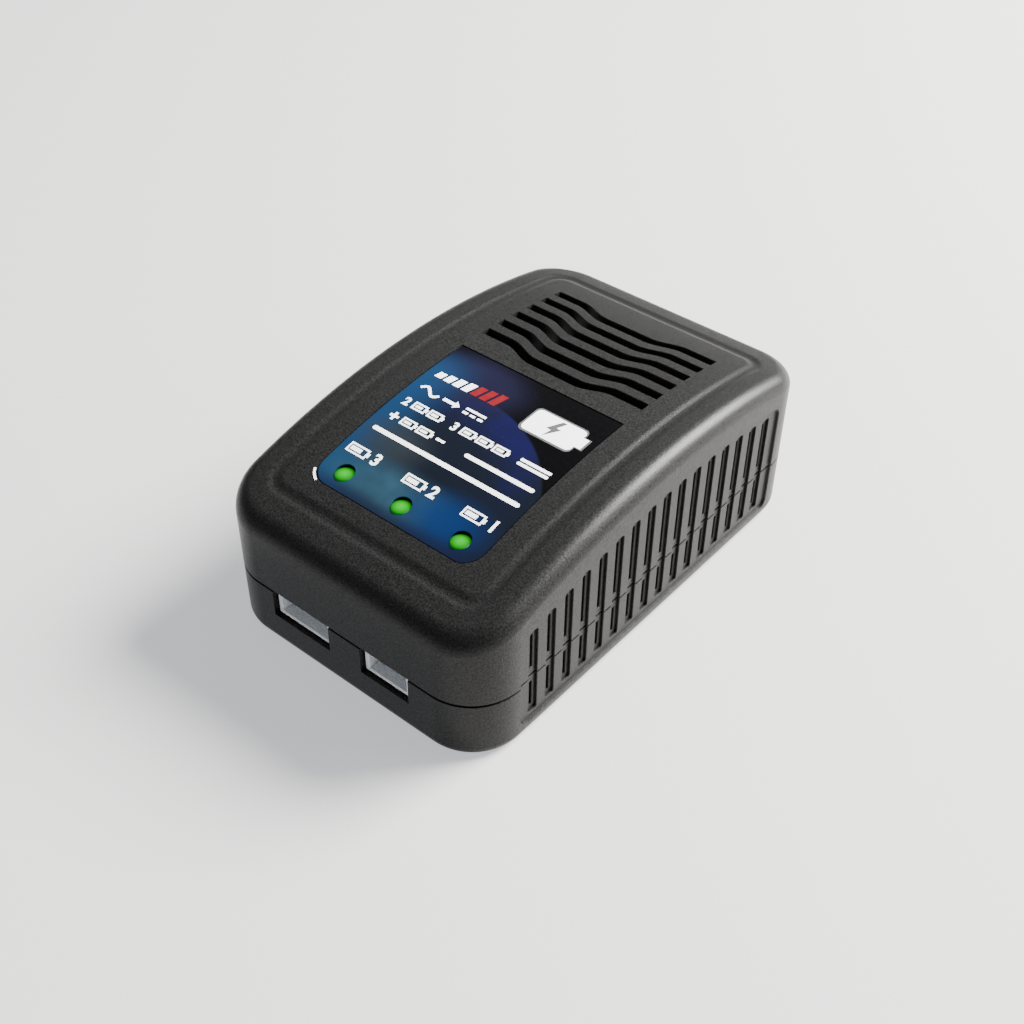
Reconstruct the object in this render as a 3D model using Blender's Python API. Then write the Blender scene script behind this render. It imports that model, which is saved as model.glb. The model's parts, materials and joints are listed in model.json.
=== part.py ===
"""Mains-powered balance charger for small two- and three-cell packs, built as separate solids.

Metres, +Z up. The origin is the centre of the base. The front wall, with the two balance ports,
faces -Y, and the mains inlet is in the rear wall, at +Y.
"""

import math

import bmesh
import bpy

# ---- Case ----
CASE_WIDTH = 0.058
CASE_LENGTH = 0.091
CORNER_RADIUS = 0.0097
PARTING_HEIGHT = 0.012
WALL = 0.0018
CLEARANCE = 0.0003
BASE_ROUNDING = 0.0022
TOP_ROUNDING = 0.003

# The top is an arch along Y: one large arc, highest a little behind the middle.
CROWN_RADIUS = 0.1446
CROWN_HEIGHT = 0.0344
CROWN_Y = 0.0056

# A shallow groove frames the raised panel of the top.
SHOULDER_DROP = 0.00006
GROOVE_DROP = 0.0003
GROOVE_OUTER_INSET = 0.0048
GROOVE_INNER_INSET = 0.0078
PANEL_FRONT_SHIFT = 0.0008
PANEL_BACK_SHIFT = 0.001
CEILING_DROP = 0.0023

# The lower shell's tongue stands inside the upper shell's rebate.
TONGUE_INSET = 0.0013
TONGUE_HEIGHT = 0.0012
REBATE_INSET = TONGUE_INSET - CLEARANCE

# ---- Ventilation ----
SIDE_SLOTS = 16
SIDE_SLOT_PITCH = 0.00427
SIDE_SLOT_WIDTH = 0.0021
SIDE_SLOT_FIRST_Y = -0.03215
SIDE_SLOT_CORNER = 0.00045
SIDE_SLOT_DEPTH = 0.00042
SIDE_SLOT_BOTTOM = 0.00405
SIDE_SLOT_DROP = 0.0075
# Each side slot is a shallow groove; a slit in its floor opens into the case, above and below
# a bridge at the parting line.
SLIT_WIDTH = 0.0006
SLIT_END_MARGIN = 0.0010
SLIT_BRIDGE = 0.0016
RECESS_DEPTH = 0.00045
RECESS_HALF_LENGTH = 0.0355
RECESS_BOTTOM = 0.0028
RECESS_DROP = 0.0061
RECESS_CORNER = 0.0016
TOP_SLOTS = 6
TOP_SLOT_PITCH = 0.00409
TOP_SLOT_WIDTH = 0.00195
TOP_SLOT_HALF_LENGTH = 0.0175
TOP_SLOT_FIRST_Y = 0.01017
TOP_SLOT_WAVE = 0.00205

# ---- Face label and lights ----
LABEL_HALF_WIDTH = 0.01736
LABEL_FRONT = -0.0338
LABEL_REAR = 0.0039
LABEL_CORNER = 0.0035
LABEL_THICKNESS = 0.00025
LABEL_DROP = 0.0001
LED_PITCH = 0.0125
LED_Y = -0.0305
LED_RADIUS = 0.0015
LED_LENGTH = 0.0053
LED_DROP = 0.00028
LED_LEAD_PITCH = 0.00254
LED_LEAD = 0.0005

# ---- Circuit board ----
BOARD_HALF_WIDTH = 0.0253
BOARD_HALF_LENGTH = 0.0419
BOARD_CORNER = 0.0075
BOARD_BOTTOM = 0.0050
BOARD_THICKNESS = 0.0016
BOARD_TOP = BOARD_BOTTOM + BOARD_THICKNESS
SEAT = BOARD_TOP + CLEARANCE
TAIL_BOTTOM = BOARD_BOTTOM - 0.0006

# ---- Screws ----
BOSS_X = 0.0222
BOSS_Y = 0.0387
LOWER_BOSS_RADIUS = 0.0034
UPPER_BOSS_RADIUS = 0.0028
SCREW_RADIUS = 0.0012
SCREW_HEAD_RADIUS = 0.0023
SCREW_HEAD_HEIGHT = 0.0022
SCREW_SINK = 0.0005
SCREW_TIP = 0.0140
POST_X = 0.0215
POST_Y = -0.0160
POST_RADIUS = 0.0024
BOARD_SCREW_RADIUS = 0.0009
BOARD_SCREW_HEAD_RADIUS = 0.0020

# ---- Balance ports: 2.5 mm pitch wafer sockets ----
CONTACT_PITCH = 0.0025
CONTACT = 0.00064
PORTS = {"balance_port_3s": (4, -0.00955), "balance_port_2s": (3, 0.0092)}
PORT_MARGIN = 0.0049
PORT_HEIGHT = 0.00575
PORT_MOUTH = -0.0445
PORT_DEPTH = 0.0076
PORT_SIDE = 0.0009
PORT_SHELF = 0.0007
PORT_REAR = 0.0012
PORT_KEY_WIDTH = 0.0011
PORT_NOTCH_BOTTOM = 0.0066
CONTACT_HEIGHT = SEAT + 0.0029
CONTACT_FRONT = -0.0413
CONTACT_TAIL = -0.0357

# ---- Mains inlet: figure-of-eight, two pins ----
INLET_HALF_WIDTH = 0.0100
INLET_HEIGHT = 0.0114
INLET_FRONT = 0.0290
INLET_FLANGE = 0.0434
INLET_NOSE = 0.0452
INLET_LEVEL = SEAT + INLET_HEIGHT / 2
NOSE_HALF_LENGTH = 0.0096
NOSE_RADIUS = 0.0054
CAVITY_RADIUS = 0.0041
CAVITY_FLOOR = 0.0342
CAVITY_WAIST = 0.0028
MAINS_PIN_X = 0.0043
MAINS_PIN_RADIUS = 0.0012
MAINS_PIN_TIP = 0.0432
MAINS_TAIL_Y = 0.0280
MAINS_TAIL = 0.0012

# ---- Mesh fineness ----
CORNER_STEPS = 6
SIDE_STEPS = 12
ROUNDING_STEPS = 4
SLOT_STEPS = 4
HOLE_SEGMENTS = 20
SMALL_HOLE_SEGMENTS = 8
FACET_ANGLE = math.radians(35)

FAR = 0.060


def clear_scene():
    """Remove every object that the scene starts with."""
    for existing in list(bpy.data.objects):
        bpy.data.objects.remove(existing, do_unlink=True)


def plastic(name, colour, roughness, metallic=0.0):
    """Principled material with one colour, roughness and metallic value."""
    material = bpy.data.materials.new(name)
    material.use_nodes = True
    shader = material.node_tree.nodes["Principled BSDF"]
    shader.inputs["Base Color"].default_value = (*colour, 1.0)
    shader.inputs["Roughness"].default_value = roughness
    shader.inputs["Metallic"].default_value = metallic
    return material


def add_object(name, bm, material=None):
    """Turn a bmesh into a named object with outward faces and smooth round sides."""
    bmesh.ops.recalc_face_normals(bm, faces=bm.faces)
    mesh = bpy.data.meshes.new(name)
    bm.to_mesh(mesh)
    bm.free()
    mesh.shade_smooth()
    mesh.set_sharp_from_angle(angle=FACET_ANGLE)
    if material is not None:
        mesh.materials.append(material)
    created = bpy.data.objects.new(name, mesh)
    bpy.context.scene.collection.objects.link(created)
    return created


def add_tool(name, bm):
    """Object that only shapes others: a cutter, or bosses to be joined on."""
    tool = add_object(name, bm)
    tool.hide_render = True
    tool.display_type = "WIRE"
    return tool


def combine(target, tool, operation="DIFFERENCE"):
    """Cut a tool out of a target, or join it on."""
    modifier = target.modifiers.new(f"{operation.lower()} {tool.name}", "BOOLEAN")
    modifier.operation = operation
    modifier.solver = "EXACT"
    modifier.object = tool


# ---- Outlines and solids ----

def arc_points(centre_a, centre_b, radius, start, end, steps):
    """Points on an arc from one angle to another, in degrees, both ends included."""
    angles = [math.radians(start + (end - start) * k / steps) for k in range(steps + 1)]
    return [(centre_a + radius * math.cos(t), centre_b + radius * math.sin(t)) for t in angles]


def rounded_rectangle(low_a, high_a, low_b, high_b, radius, steps):
    """Closed outline of a rectangle with rounded corners, anticlockwise."""
    points = arc_points(high_a - radius, low_b + radius, radius, -90, 0, steps)
    points += arc_points(high_a - radius, high_b - radius, radius, 0, 90, steps)
    points += arc_points(low_a + radius, high_b - radius, radius, 90, 180, steps)
    points += arc_points(low_a + radius, low_b + radius, radius, 180, 270, steps)
    return points


def add_prism(bm, outline, axis, low, high):
    """Prism through a closed outline, between two planes square to an axis."""
    place = {
        "X": lambda a, b, level: (level, a, b),
        "Y": lambda a, b, level: (a, level, b),
        "Z": lambda a, b, level: (a, b, level),
    }[axis]
    near = [bm.verts.new(place(a, b, low)) for a, b in outline]
    far = [bm.verts.new(place(a, b, high)) for a, b in outline]
    bm.faces.new(near[::-1])
    bm.faces.new(far)
    for k in range(len(outline)):
        following = (k + 1) % len(outline)
        bm.faces.new((near[k], near[following], far[following], far[k]))


def add_box(bm, low, high):
    """Box between two corners."""
    outline = [(low[0], low[1]), (high[0], low[1]), (high[0], high[1]), (low[0], high[1])]
    add_prism(bm, outline, "Z", low[2], high[2])


def add_turned(bm, profile, centre, axis="Z", segments=HOLE_SEGMENTS):
    """Solid of revolution; profile runs along the axis as (radius, level) and ends at radius 0."""
    place = {
        "X": lambda a, b, level: (level, centre[0] + a, centre[1] + b),
        "Y": lambda a, b, level: (centre[0] + a, level, centre[1] + b),
        "Z": lambda a, b, level: (centre[0] + a, centre[1] + b, level),
    }[axis]
    turns = [2 * math.pi * k / segments for k in range(segments)]
    first = bm.verts.new(place(0, 0, profile[0][1]))
    last = bm.verts.new(place(0, 0, profile[-1][1]))
    rings = []
    for radius, level in profile[1:-1]:
        rings.append([bm.verts.new(place(radius * math.cos(t), radius * math.sin(t), level)) for t in turns])
    for k in range(segments):
        following = (k + 1) % segments
        bm.faces.new((first, rings[0][following], rings[0][k]))
        bm.faces.new((last, rings[-1][k], rings[-1][following]))
        for lower, upper in zip(rings, rings[1:]):
            bm.faces.new((lower[k], lower[following], upper[following], upper[k]))


def add_cylinder(bm, radius, low, high, centre, axis="Z", segments=HOLE_SEGMENTS):
    """Plain cylinder along an axis."""
    add_turned(bm, [(0, low), (radius, low), (radius, high), (0, high)], centre, axis, segments)


def block(name, low, high, material, rounding=0.0):
    """Box with softened edges."""
    bm = bmesh.new()
    add_box(bm, low, high)
    made = add_object(name, bm, material)
    if rounding:
        bevel = made.modifiers.new("edges", "BEVEL")
        bevel.width = rounding
        bevel.segments = 1
    return made


def standing_block(name, centre, size, material, rounding=0.0004):
    """Component body that stands on the board."""
    low = (centre[0] - size[0] / 2, centre[1] - size[1] / 2, SEAT)
    high = (centre[0] + size[0] / 2, centre[1] + size[1] / 2, SEAT + size[2])
    return block(name, low, high, material, rounding)


def turned(name, profile, centre, material, axis="Z", segments=HOLE_SEGMENTS):
    """Named solid of revolution."""
    bm = bmesh.new()
    add_turned(bm, profile, centre, axis, segments)
    return add_object(name, bm, material)


# ---- Case shells ----

def crown(y, drop=0.0):
    """Height of the arched top at y, lowered by drop."""
    return CROWN_HEIGHT - CROWN_RADIUS + math.sqrt(CROWN_RADIUS ** 2 - (y - CROWN_Y) ** 2) - drop


def level(height):
    """Height rule of a flat ring."""
    return lambda y: height


def under_crown(drop):
    """Height rule of a ring that follows the arched top."""
    return lambda y: crown(y, drop)


def outline_half(inset, panel):
    """Right-hand half of the plan outline moved in by inset, from front to back.

    panel is 0 on the case's own outline and 1 on the panel's, whose ends lie further in.
    """
    radius = CORNER_RADIUS - inset
    half_width = CASE_WIDTH / 2 - inset
    front = -CASE_LENGTH / 2 + inset + PANEL_FRONT_SHIFT * panel
    back = CASE_LENGTH / 2 - inset - PANEL_BACK_SHIFT * panel
    points = arc_points(half_width - radius, front + radius, radius, -90, 0, CORNER_STEPS)
    straight = back - front - 2 * radius
    points += [(half_width, front + radius + straight * k / SIDE_STEPS) for k in range(1, SIDE_STEPS)]
    points += arc_points(half_width - radius, back - radius, radius, 0, 90, CORNER_STEPS)
    return points


def lofted_shell(name, rings, material):
    """Closed shell through concentric rings, from its inner face over the rim to its outer face."""
    bm = bmesh.new()
    rows = []
    for inset, panel, height in rings:
        half = outline_half(inset, panel)
        right = [bm.verts.new((x, y, height(y))) for x, y in half]
        left = [bm.verts.new((-x, y, height(y))) for x, y in half]
        rows.append((right, left))
    for (right_a, left_a), (right_b, left_b) in zip(rows, rows[1:]):
        loop_a = right_a + left_a[::-1]
        loop_b = right_b + left_b[::-1]
        for k in range(len(loop_a)):
            following = (k + 1) % len(loop_a)
            bm.faces.new((loop_a[k], loop_a[following], loop_b[following], loop_b[k]))
    for right, left in (rows[0], rows[-1]):
        for k in range(len(right) - 1):
            bm.faces.new((right[k], right[k + 1], left[k + 1], left[k]))
    return add_object(name, bm, material)


def rounding_rings(radius, base_drop):
    """Rings round the top edge, from the wall up to the shoulder."""
    rings = []
    for k in range(ROUNDING_STEPS + 1):
        angle = math.pi / 2 * k / ROUNDING_STEPS
        drop = base_drop + radius * (1 - math.sin(angle))
        rings.append((radius * (1 - math.cos(angle)), 0, under_crown(drop)))
    return rings


def upper_shell(material):
    """Arched top cover with its rebate, rounded top edge and framed panel."""
    groove_width = GROOVE_INNER_INSET - GROOVE_OUTER_INSET
    rim = PARTING_HEIGHT + CLEARANCE / 2
    shelf = PARTING_HEIGHT + TONGUE_HEIGHT + CLEARANCE
    rings = [
        (WALL + 0.0022, 0, under_crown(CEILING_DROP)),
        (WALL + 0.0006, 0, under_crown(CEILING_DROP + 0.0006)),
        (WALL, 0, under_crown(CEILING_DROP + 0.0022)),
        (WALL, 0, level(shelf)),
        (REBATE_INSET, 0, level(shelf)),
        (REBATE_INSET, 0, level(rim)),
        (0, 0, level(rim)),
    ]
    rings += rounding_rings(TOP_ROUNDING, SHOULDER_DROP)
    rings += [
        (GROOVE_OUTER_INSET, 1, under_crown(SHOULDER_DROP)),
        (GROOVE_OUTER_INSET + groove_width * 0.30, 1, under_crown(GROOVE_DROP)),
        (GROOVE_OUTER_INSET + groove_width * 0.58, 1, under_crown(GROOVE_DROP)),
        (GROOVE_OUTER_INSET + groove_width * 0.80, 1, under_crown(GROOVE_DROP / 2)),
        (GROOVE_INNER_INSET, 1, under_crown(0)),
    ]
    return lofted_shell("top_cover", rings, material)


def lower_shell(material):
    """Base tray with a tongue round its rim."""
    rim = PARTING_HEIGHT - CLEARANCE / 2
    tongue_top = PARTING_HEIGHT + TONGUE_HEIGHT
    rings = [
        (WALL + 0.0012, 0, level(WALL)),
        (WALL, 0, level(WALL + 0.0012)),
        (WALL, 0, level(tongue_top)),
        (TONGUE_INSET, 0, level(tongue_top)),
        (TONGUE_INSET, 0, level(rim)),
        (0, 0, level(rim)),
    ]
    for k in range(ROUNDING_STEPS + 1):
        angle = math.pi / 2 * k / ROUNDING_STEPS
        inset = BASE_ROUNDING * (1 - math.cos(angle))
        rings.append((inset, 0, level(BASE_ROUNDING * (1 - math.sin(angle)))))
    return lofted_shell("bottom_cover", rings, material)


def side_slot_centres():
    """Places of the side slots along the case."""
    return [SIDE_SLOT_FIRST_Y + SIDE_SLOT_PITCH * k for k in range(SIDE_SLOTS)]


def side_prisms(bm, outline, reach):
    """The same prism on both side walls, from outside the case in to reach from the middle."""
    add_prism(bm, outline, "X", reach, FAR)
    add_prism(bm, outline, "X", -FAR, -reach)


def recess_cutter():
    """Shallow panel in each side wall, its top edge following the arch."""
    corner = RECESS_CORNER
    end = RECESS_HALF_LENGTH
    outline = arc_points(end - corner, RECESS_BOTTOM + corner, corner, -90, 0, SLOT_STEPS)
    outline += arc_points(end - corner, crown(end - corner, RECESS_DROP + corner), corner, 0, 90, SLOT_STEPS)
    for k in range(1, SIDE_STEPS):
        y = (end - corner) * (1 - 2 * k / SIDE_STEPS)
        outline.append((y, crown(y, RECESS_DROP)))
    outline += arc_points(corner - end, crown(corner - end, RECESS_DROP + corner), corner, 90, 180, SLOT_STEPS)
    outline += arc_points(corner - end, RECESS_BOTTOM + corner, corner, 180, 270, SLOT_STEPS)
    bm = bmesh.new()
    side_prisms(bm, outline, CASE_WIDTH / 2 - RECESS_DEPTH)
    return add_tool("side_recess_cutter", bm)


def upper_slot_cutters():
    """Grooves of the top cover's side slots, open downwards, and the slits in their floors."""
    grooves = bmesh.new()
    slits = bmesh.new()
    half = SIDE_SLOT_WIDTH / 2
    corner = SIDE_SLOT_CORNER
    slit_half = SLIT_WIDTH / 2
    slit_low = PARTING_HEIGHT + SLIT_BRIDGE
    for y in side_slot_centres():
        top = crown(y, SIDE_SLOT_DROP)
        outline = [(y - half, PARTING_HEIGHT - WALL), (y + half, PARTING_HEIGHT - WALL)]
        outline += arc_points(y + half - corner, top - corner, corner, 0, 90, SLOT_STEPS)
        outline += arc_points(y - half + corner, top - corner, corner, 90, 180, SLOT_STEPS)
        side_prisms(grooves, outline, CASE_WIDTH / 2 - RECESS_DEPTH - SIDE_SLOT_DEPTH)
        slit_top = top - SLIT_END_MARGIN
        slit = [(y - slit_half, slit_low), (y + slit_half, slit_low)]
        slit += arc_points(y, slit_top - slit_half, slit_half, 0, 180, SLOT_STEPS)
        side_prisms(slits, slit, CASE_WIDTH / 2 - 2 * WALL)
    return add_tool("upper_groove_cutter", grooves), add_tool("upper_slit_cutter", slits)


def lower_slot_cutters():
    """Grooves of the bottom cover's side slots, open upwards, and the slits in their floors."""
    grooves = bmesh.new()
    slits = bmesh.new()
    half = SIDE_SLOT_WIDTH / 2
    corner = SIDE_SLOT_CORNER
    slit_half = SLIT_WIDTH / 2
    slit_low = SIDE_SLOT_BOTTOM + SLIT_END_MARGIN
    slit_top = PARTING_HEIGHT - SLIT_BRIDGE
    for y in side_slot_centres():
        outline = arc_points(y - half + corner, SIDE_SLOT_BOTTOM + corner, corner, 180, 270, SLOT_STEPS)
        outline += arc_points(y + half - corner, SIDE_SLOT_BOTTOM + corner, corner, 270, 360, SLOT_STEPS)
        outline += [(y + half, PARTING_HEIGHT + WALL), (y - half, PARTING_HEIGHT + WALL)]
        side_prisms(grooves, outline, CASE_WIDTH / 2 - RECESS_DEPTH - SIDE_SLOT_DEPTH)
        slit = arc_points(y, slit_low + slit_half, slit_half, 180, 360, SLOT_STEPS)
        slit += [(y + slit_half, slit_top), (y - slit_half, slit_top)]
        side_prisms(slits, slit, CASE_WIDTH / 2 - 2 * WALL)
    return add_tool("lower_groove_cutter", grooves), add_tool("lower_slit_cutter", slits)


def wave(fraction):
    """Sideways step of a top slot: 0 at its ends, 1 in the middle, eased between."""
    distance = abs(fraction - 0.493)
    eased = min(max((0.332 - distance) / 0.19, 0.0), 1.0)
    return eased * eased * (3 - 2 * eased)


def top_slot_cutter():
    """Wavy slots across the rear of the top panel."""
    fractions = [0.0, 0.14] + [0.16 + 0.04 * k for k in range(6)] + [0.60]
    fractions += [0.63 + 0.04 * k for k in range(6)] + [1.0]
    bm = bmesh.new()
    for index in range(TOP_SLOTS):
        centre = TOP_SLOT_FIRST_Y + TOP_SLOT_PITCH * index
        line = []
        for fraction in fractions:
            x = TOP_SLOT_HALF_LENGTH * (2 * fraction - 1)
            line.append((x, centre - TOP_SLOT_WAVE * wave(fraction)))
        outline = [(x, y - TOP_SLOT_WIDTH / 2) for x, y in line]
        outline += [(x, y + TOP_SLOT_WIDTH / 2) for x, y in reversed(line)]
        add_prism(bm, outline, "Z", 0.026, FAR)
    return add_tool("top_slot_cutter", bm)


def label_rows(margin):
    """Right-hand edge of the label, from front to back, grown outwards by margin."""
    radius = LABEL_CORNER + margin
    half_width = LABEL_HALF_WIDTH + margin
    front = LABEL_FRONT - margin
    rear = LABEL_REAR + margin
    rows = arc_points(half_width - radius, front + radius, radius, -90, 0, CORNER_STEPS)
    straight = rear - front - radius
    rows += [(half_width, front + radius + straight * k / SIDE_STEPS) for k in range(1, SIDE_STEPS + 1)]
    return rows


def arched_plate(bm, rows, low, high):
    """Plate that follows the arch between two height rules; rows is its right-hand edge."""
    corners = []
    for x, y in rows:
        corners.append([bm.verts.new(point) for point in (
            (x, y, low(y)), (-x, y, low(y)), (-x, y, high(y)), (x, y, high(y)))])
    bm.faces.new(corners[0])
    bm.faces.new(corners[-1][::-1])
    for near, far in zip(corners, corners[1:]):
        for k in range(4):
            following = (k + 1) % 4
            bm.faces.new((near[k], far[k], far[following], near[following]))


def led_places():
    """Centre line of each light, from left to right."""
    return [(LED_PITCH * k, LED_Y) for k in (-1, 0, 1)]


def led_hole_cutter():
    """Round holes for the three lights."""
    bm = bmesh.new()
    for place in led_places():
        add_cylinder(bm, LED_RADIUS + CLEARANCE, 0.020, FAR, place)
    return add_tool("led_hole_cutter", bm)


def label_pocket_cutter():
    """Pocket that takes the face label."""
    bm = bmesh.new()
    floor = LABEL_DROP + LABEL_THICKNESS + CLEARANCE
    arched_plate(bm, label_rows(CLEARANCE), under_crown(floor), level(FAR))
    return add_tool("label_pocket_cutter", bm)


def boss_places():
    """Axes of the four case screws."""
    return [(x, y) for x in (-BOSS_X, BOSS_X) for y in (-BOSS_Y, BOSS_Y)]


def post_places():
    """Axes of the two board screws."""
    return [(x, POST_Y) for x in (-POST_X, POST_X)]


def upper_bosses():
    """Bosses that hang from the top cover and take the case screws."""
    bm = bmesh.new()
    for place in boss_places():
        top = crown(math.copysign(abs(place[1]) + UPPER_BOSS_RADIUS, place[1]), CEILING_DROP - 0.0006)
        add_cylinder(bm, UPPER_BOSS_RADIUS, BOARD_BOTTOM, top, place)
    return add_tool("upper_bosses", bm)


def upper_boss_pilots():
    """Pilot holes in the upper bosses."""
    bm = bmesh.new()
    for place in boss_places():
        add_cylinder(bm, SCREW_RADIUS + CLEARANCE, 0, SCREW_TIP + 0.001, place, segments=SMALL_HOLE_SEGMENTS * 2)
    return add_tool("upper_boss_pilots", bm)


def lower_bosses():
    """Screw bosses and board posts that stand on the base."""
    bm = bmesh.new()
    top = BOARD_BOTTOM - CLEARANCE
    for place in boss_places():
        add_cylinder(bm, LOWER_BOSS_RADIUS, WALL / 2, top, place)
    for place in post_places() + [(x, -POST_Y) for x in (-POST_X, POST_X)]:
        add_cylinder(bm, POST_RADIUS, WALL / 2, top, place)
    return add_tool("lower_bosses", bm)


def lower_screw_holes():
    """Countersunk through holes for the case screws, and pilots for the board screws."""
    bm = bmesh.new()
    seat = SCREW_SINK + SCREW_HEAD_HEIGHT + CLEARANCE
    through = SCREW_RADIUS + CLEARANCE
    profile = [(0, -WALL), (SCREW_HEAD_RADIUS + CLEARANCE, -WALL), (SCREW_HEAD_RADIUS + CLEARANCE, seat)]
    profile += [(through, seat), (through, BOARD_TOP), (0, BOARD_TOP)]
    for place in boss_places():
        add_turned(bm, profile, place)
    for place in post_places():
        add_cylinder(bm, BOARD_SCREW_RADIUS + CLEARANCE, WALL + 0.0006, BOARD_TOP, place,
                     segments=SMALL_HOLE_SEGMENTS * 2)
    return add_tool("lower_screw_holes", bm)


def port_width(contacts):
    """Outer width of a socket with that many contacts."""
    return CONTACT_PITCH * (contacts - 1) + PORT_MARGIN


def port_notch_cutter():
    """Notches in the front wall, open upwards, for the two balance ports."""
    bm = bmesh.new()
    for contacts, centre in PORTS.values():
        half = port_width(contacts) / 2 + CLEARANCE - 0.00005
        add_box(bm, (centre - half, -FAR, PORT_NOTCH_BOTTOM), (centre + half, PORT_MOUTH + WALL, FAR))
    return add_tool("port_notch_cutter", bm)


def inlet_cutter():
    """Opening for the inlet's nose in the rear wall."""
    bm = bmesh.new()
    add_prism(bm, nose_outline(CLEARANCE), "Y", CASE_LENGTH / 2 - 2 * WALL, FAR)
    return add_tool("inlet_cutter", bm)


def nose_outline(margin):
    """Round-ended outline of the inlet's nose, grown by margin."""
    length = NOSE_HALF_LENGTH + margin
    radius = NOSE_RADIUS + margin
    return rounded_rectangle(-length, length, INLET_LEVEL - radius, INLET_LEVEL + radius, radius * 0.98, 6)


def build_case(paint):
    """Both covers, the label and the case screws."""
    top = upper_shell(paint["case"])
    bottom = lower_shell(paint["case"])
    recess = recess_cutter()
    inlet = inlet_cutter()
    led_holes = led_hole_cutter()

    combine(top, upper_bosses(), "UNION")
    for tool in (recess, *upper_slot_cutters(), top_slot_cutter(), label_pocket_cutter(), led_holes,
                 upper_boss_pilots(), inlet):
        combine(top, tool)

    combine(bottom, lower_bosses(), "UNION")
    for tool in (recess, *lower_slot_cutters(), lower_screw_holes(), port_notch_cutter(), inlet):
        combine(bottom, tool)

    bm = bmesh.new()
    arched_plate(bm, label_rows(0), under_crown(LABEL_DROP + LABEL_THICKNESS), under_crown(LABEL_DROP))
    label = add_object("face_label", bm, paint["label"])
    combine(label, led_holes)

    head_top = SCREW_SINK + SCREW_HEAD_HEIGHT
    profile = [(0, SCREW_SINK), (SCREW_HEAD_RADIUS, SCREW_SINK), (SCREW_HEAD_RADIUS, head_top)]
    profile += [(SCREW_RADIUS, head_top), (SCREW_RADIUS, SCREW_TIP - 0.001), (0, SCREW_TIP)]
    for index, place in enumerate(boss_places(), start=1):
        turned(f"case_screw_{index}", profile, place, paint["steel"], segments=SMALL_HOLE_SEGMENTS * 2)


# ---- Circuit board and its parts ----

def contact_places():
    """Centre of every port contact, as (port name, number, x)."""
    places = []
    for name, (contacts, centre) in PORTS.items():
        first = centre - CONTACT_PITCH * (contacts - 1) / 2
        places += [(name, k + 1, first + CONTACT_PITCH * k) for k in range(contacts)]
    return places


def lead_places():
    """Centre of every lead of the lights, as (light number, lead number, x)."""
    places = []
    for light, (x, _) in enumerate(led_places(), start=1):
        places += [(light, lead, x + LED_LEAD_PITCH * (lead - 1.5)) for lead in (1, 2)]
    return places


def build_board(paint):
    """Board with notches for the case bosses and holes for screws and tails."""
    bm = bmesh.new()
    outline = rounded_rectangle(-BOARD_HALF_WIDTH, BOARD_HALF_WIDTH, -BOARD_HALF_LENGTH, BOARD_HALF_LENGTH,
                                BOARD_CORNER, CORNER_STEPS)
    add_prism(bm, outline, "Z", BOARD_BOTTOM, BOARD_TOP)
    board = add_object("main_board", bm, paint["board"])

    bm = bmesh.new()
    for place in boss_places():
        add_cylinder(bm, UPPER_BOSS_RADIUS + 2 * CLEARANCE, 0, 2 * BOARD_TOP, place)
    for place in post_places():
        add_cylinder(bm, BOARD_SCREW_RADIUS + CLEARANCE, 0, 2 * BOARD_TOP, place,
                     segments=SMALL_HOLE_SEGMENTS * 2)
    small = [(x, CONTACT_TAIL, CONTACT) for _, _, x in contact_places()]
    small += [(x, LED_Y, LED_LEAD) for _, _, x in lead_places()]
    small += [(x, MAINS_TAIL_Y, MAINS_TAIL) for x in (-MAINS_PIN_X, MAINS_PIN_X)]
    for x, y, width in small:
        half = width / 2 + CLEARANCE
        add_box(bm, (x - half, y - half, 0), (x + half, y + half, 2 * BOARD_TOP))
    combine(board, add_tool("board_cutter", bm))

    head_top = SEAT + 0.0012
    profile = [(0, WALL + 0.0012), (BOARD_SCREW_RADIUS, WALL + 0.0012), (BOARD_SCREW_RADIUS, SEAT)]
    profile += [(BOARD_SCREW_HEAD_RADIUS, SEAT), (BOARD_SCREW_HEAD_RADIUS, head_top), (0, head_top)]
    for index, place in enumerate(post_places(), start=1):
        turned(f"board_screw_{index}", profile, place, paint["steel"], segments=SMALL_HOLE_SEGMENTS * 2)


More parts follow.
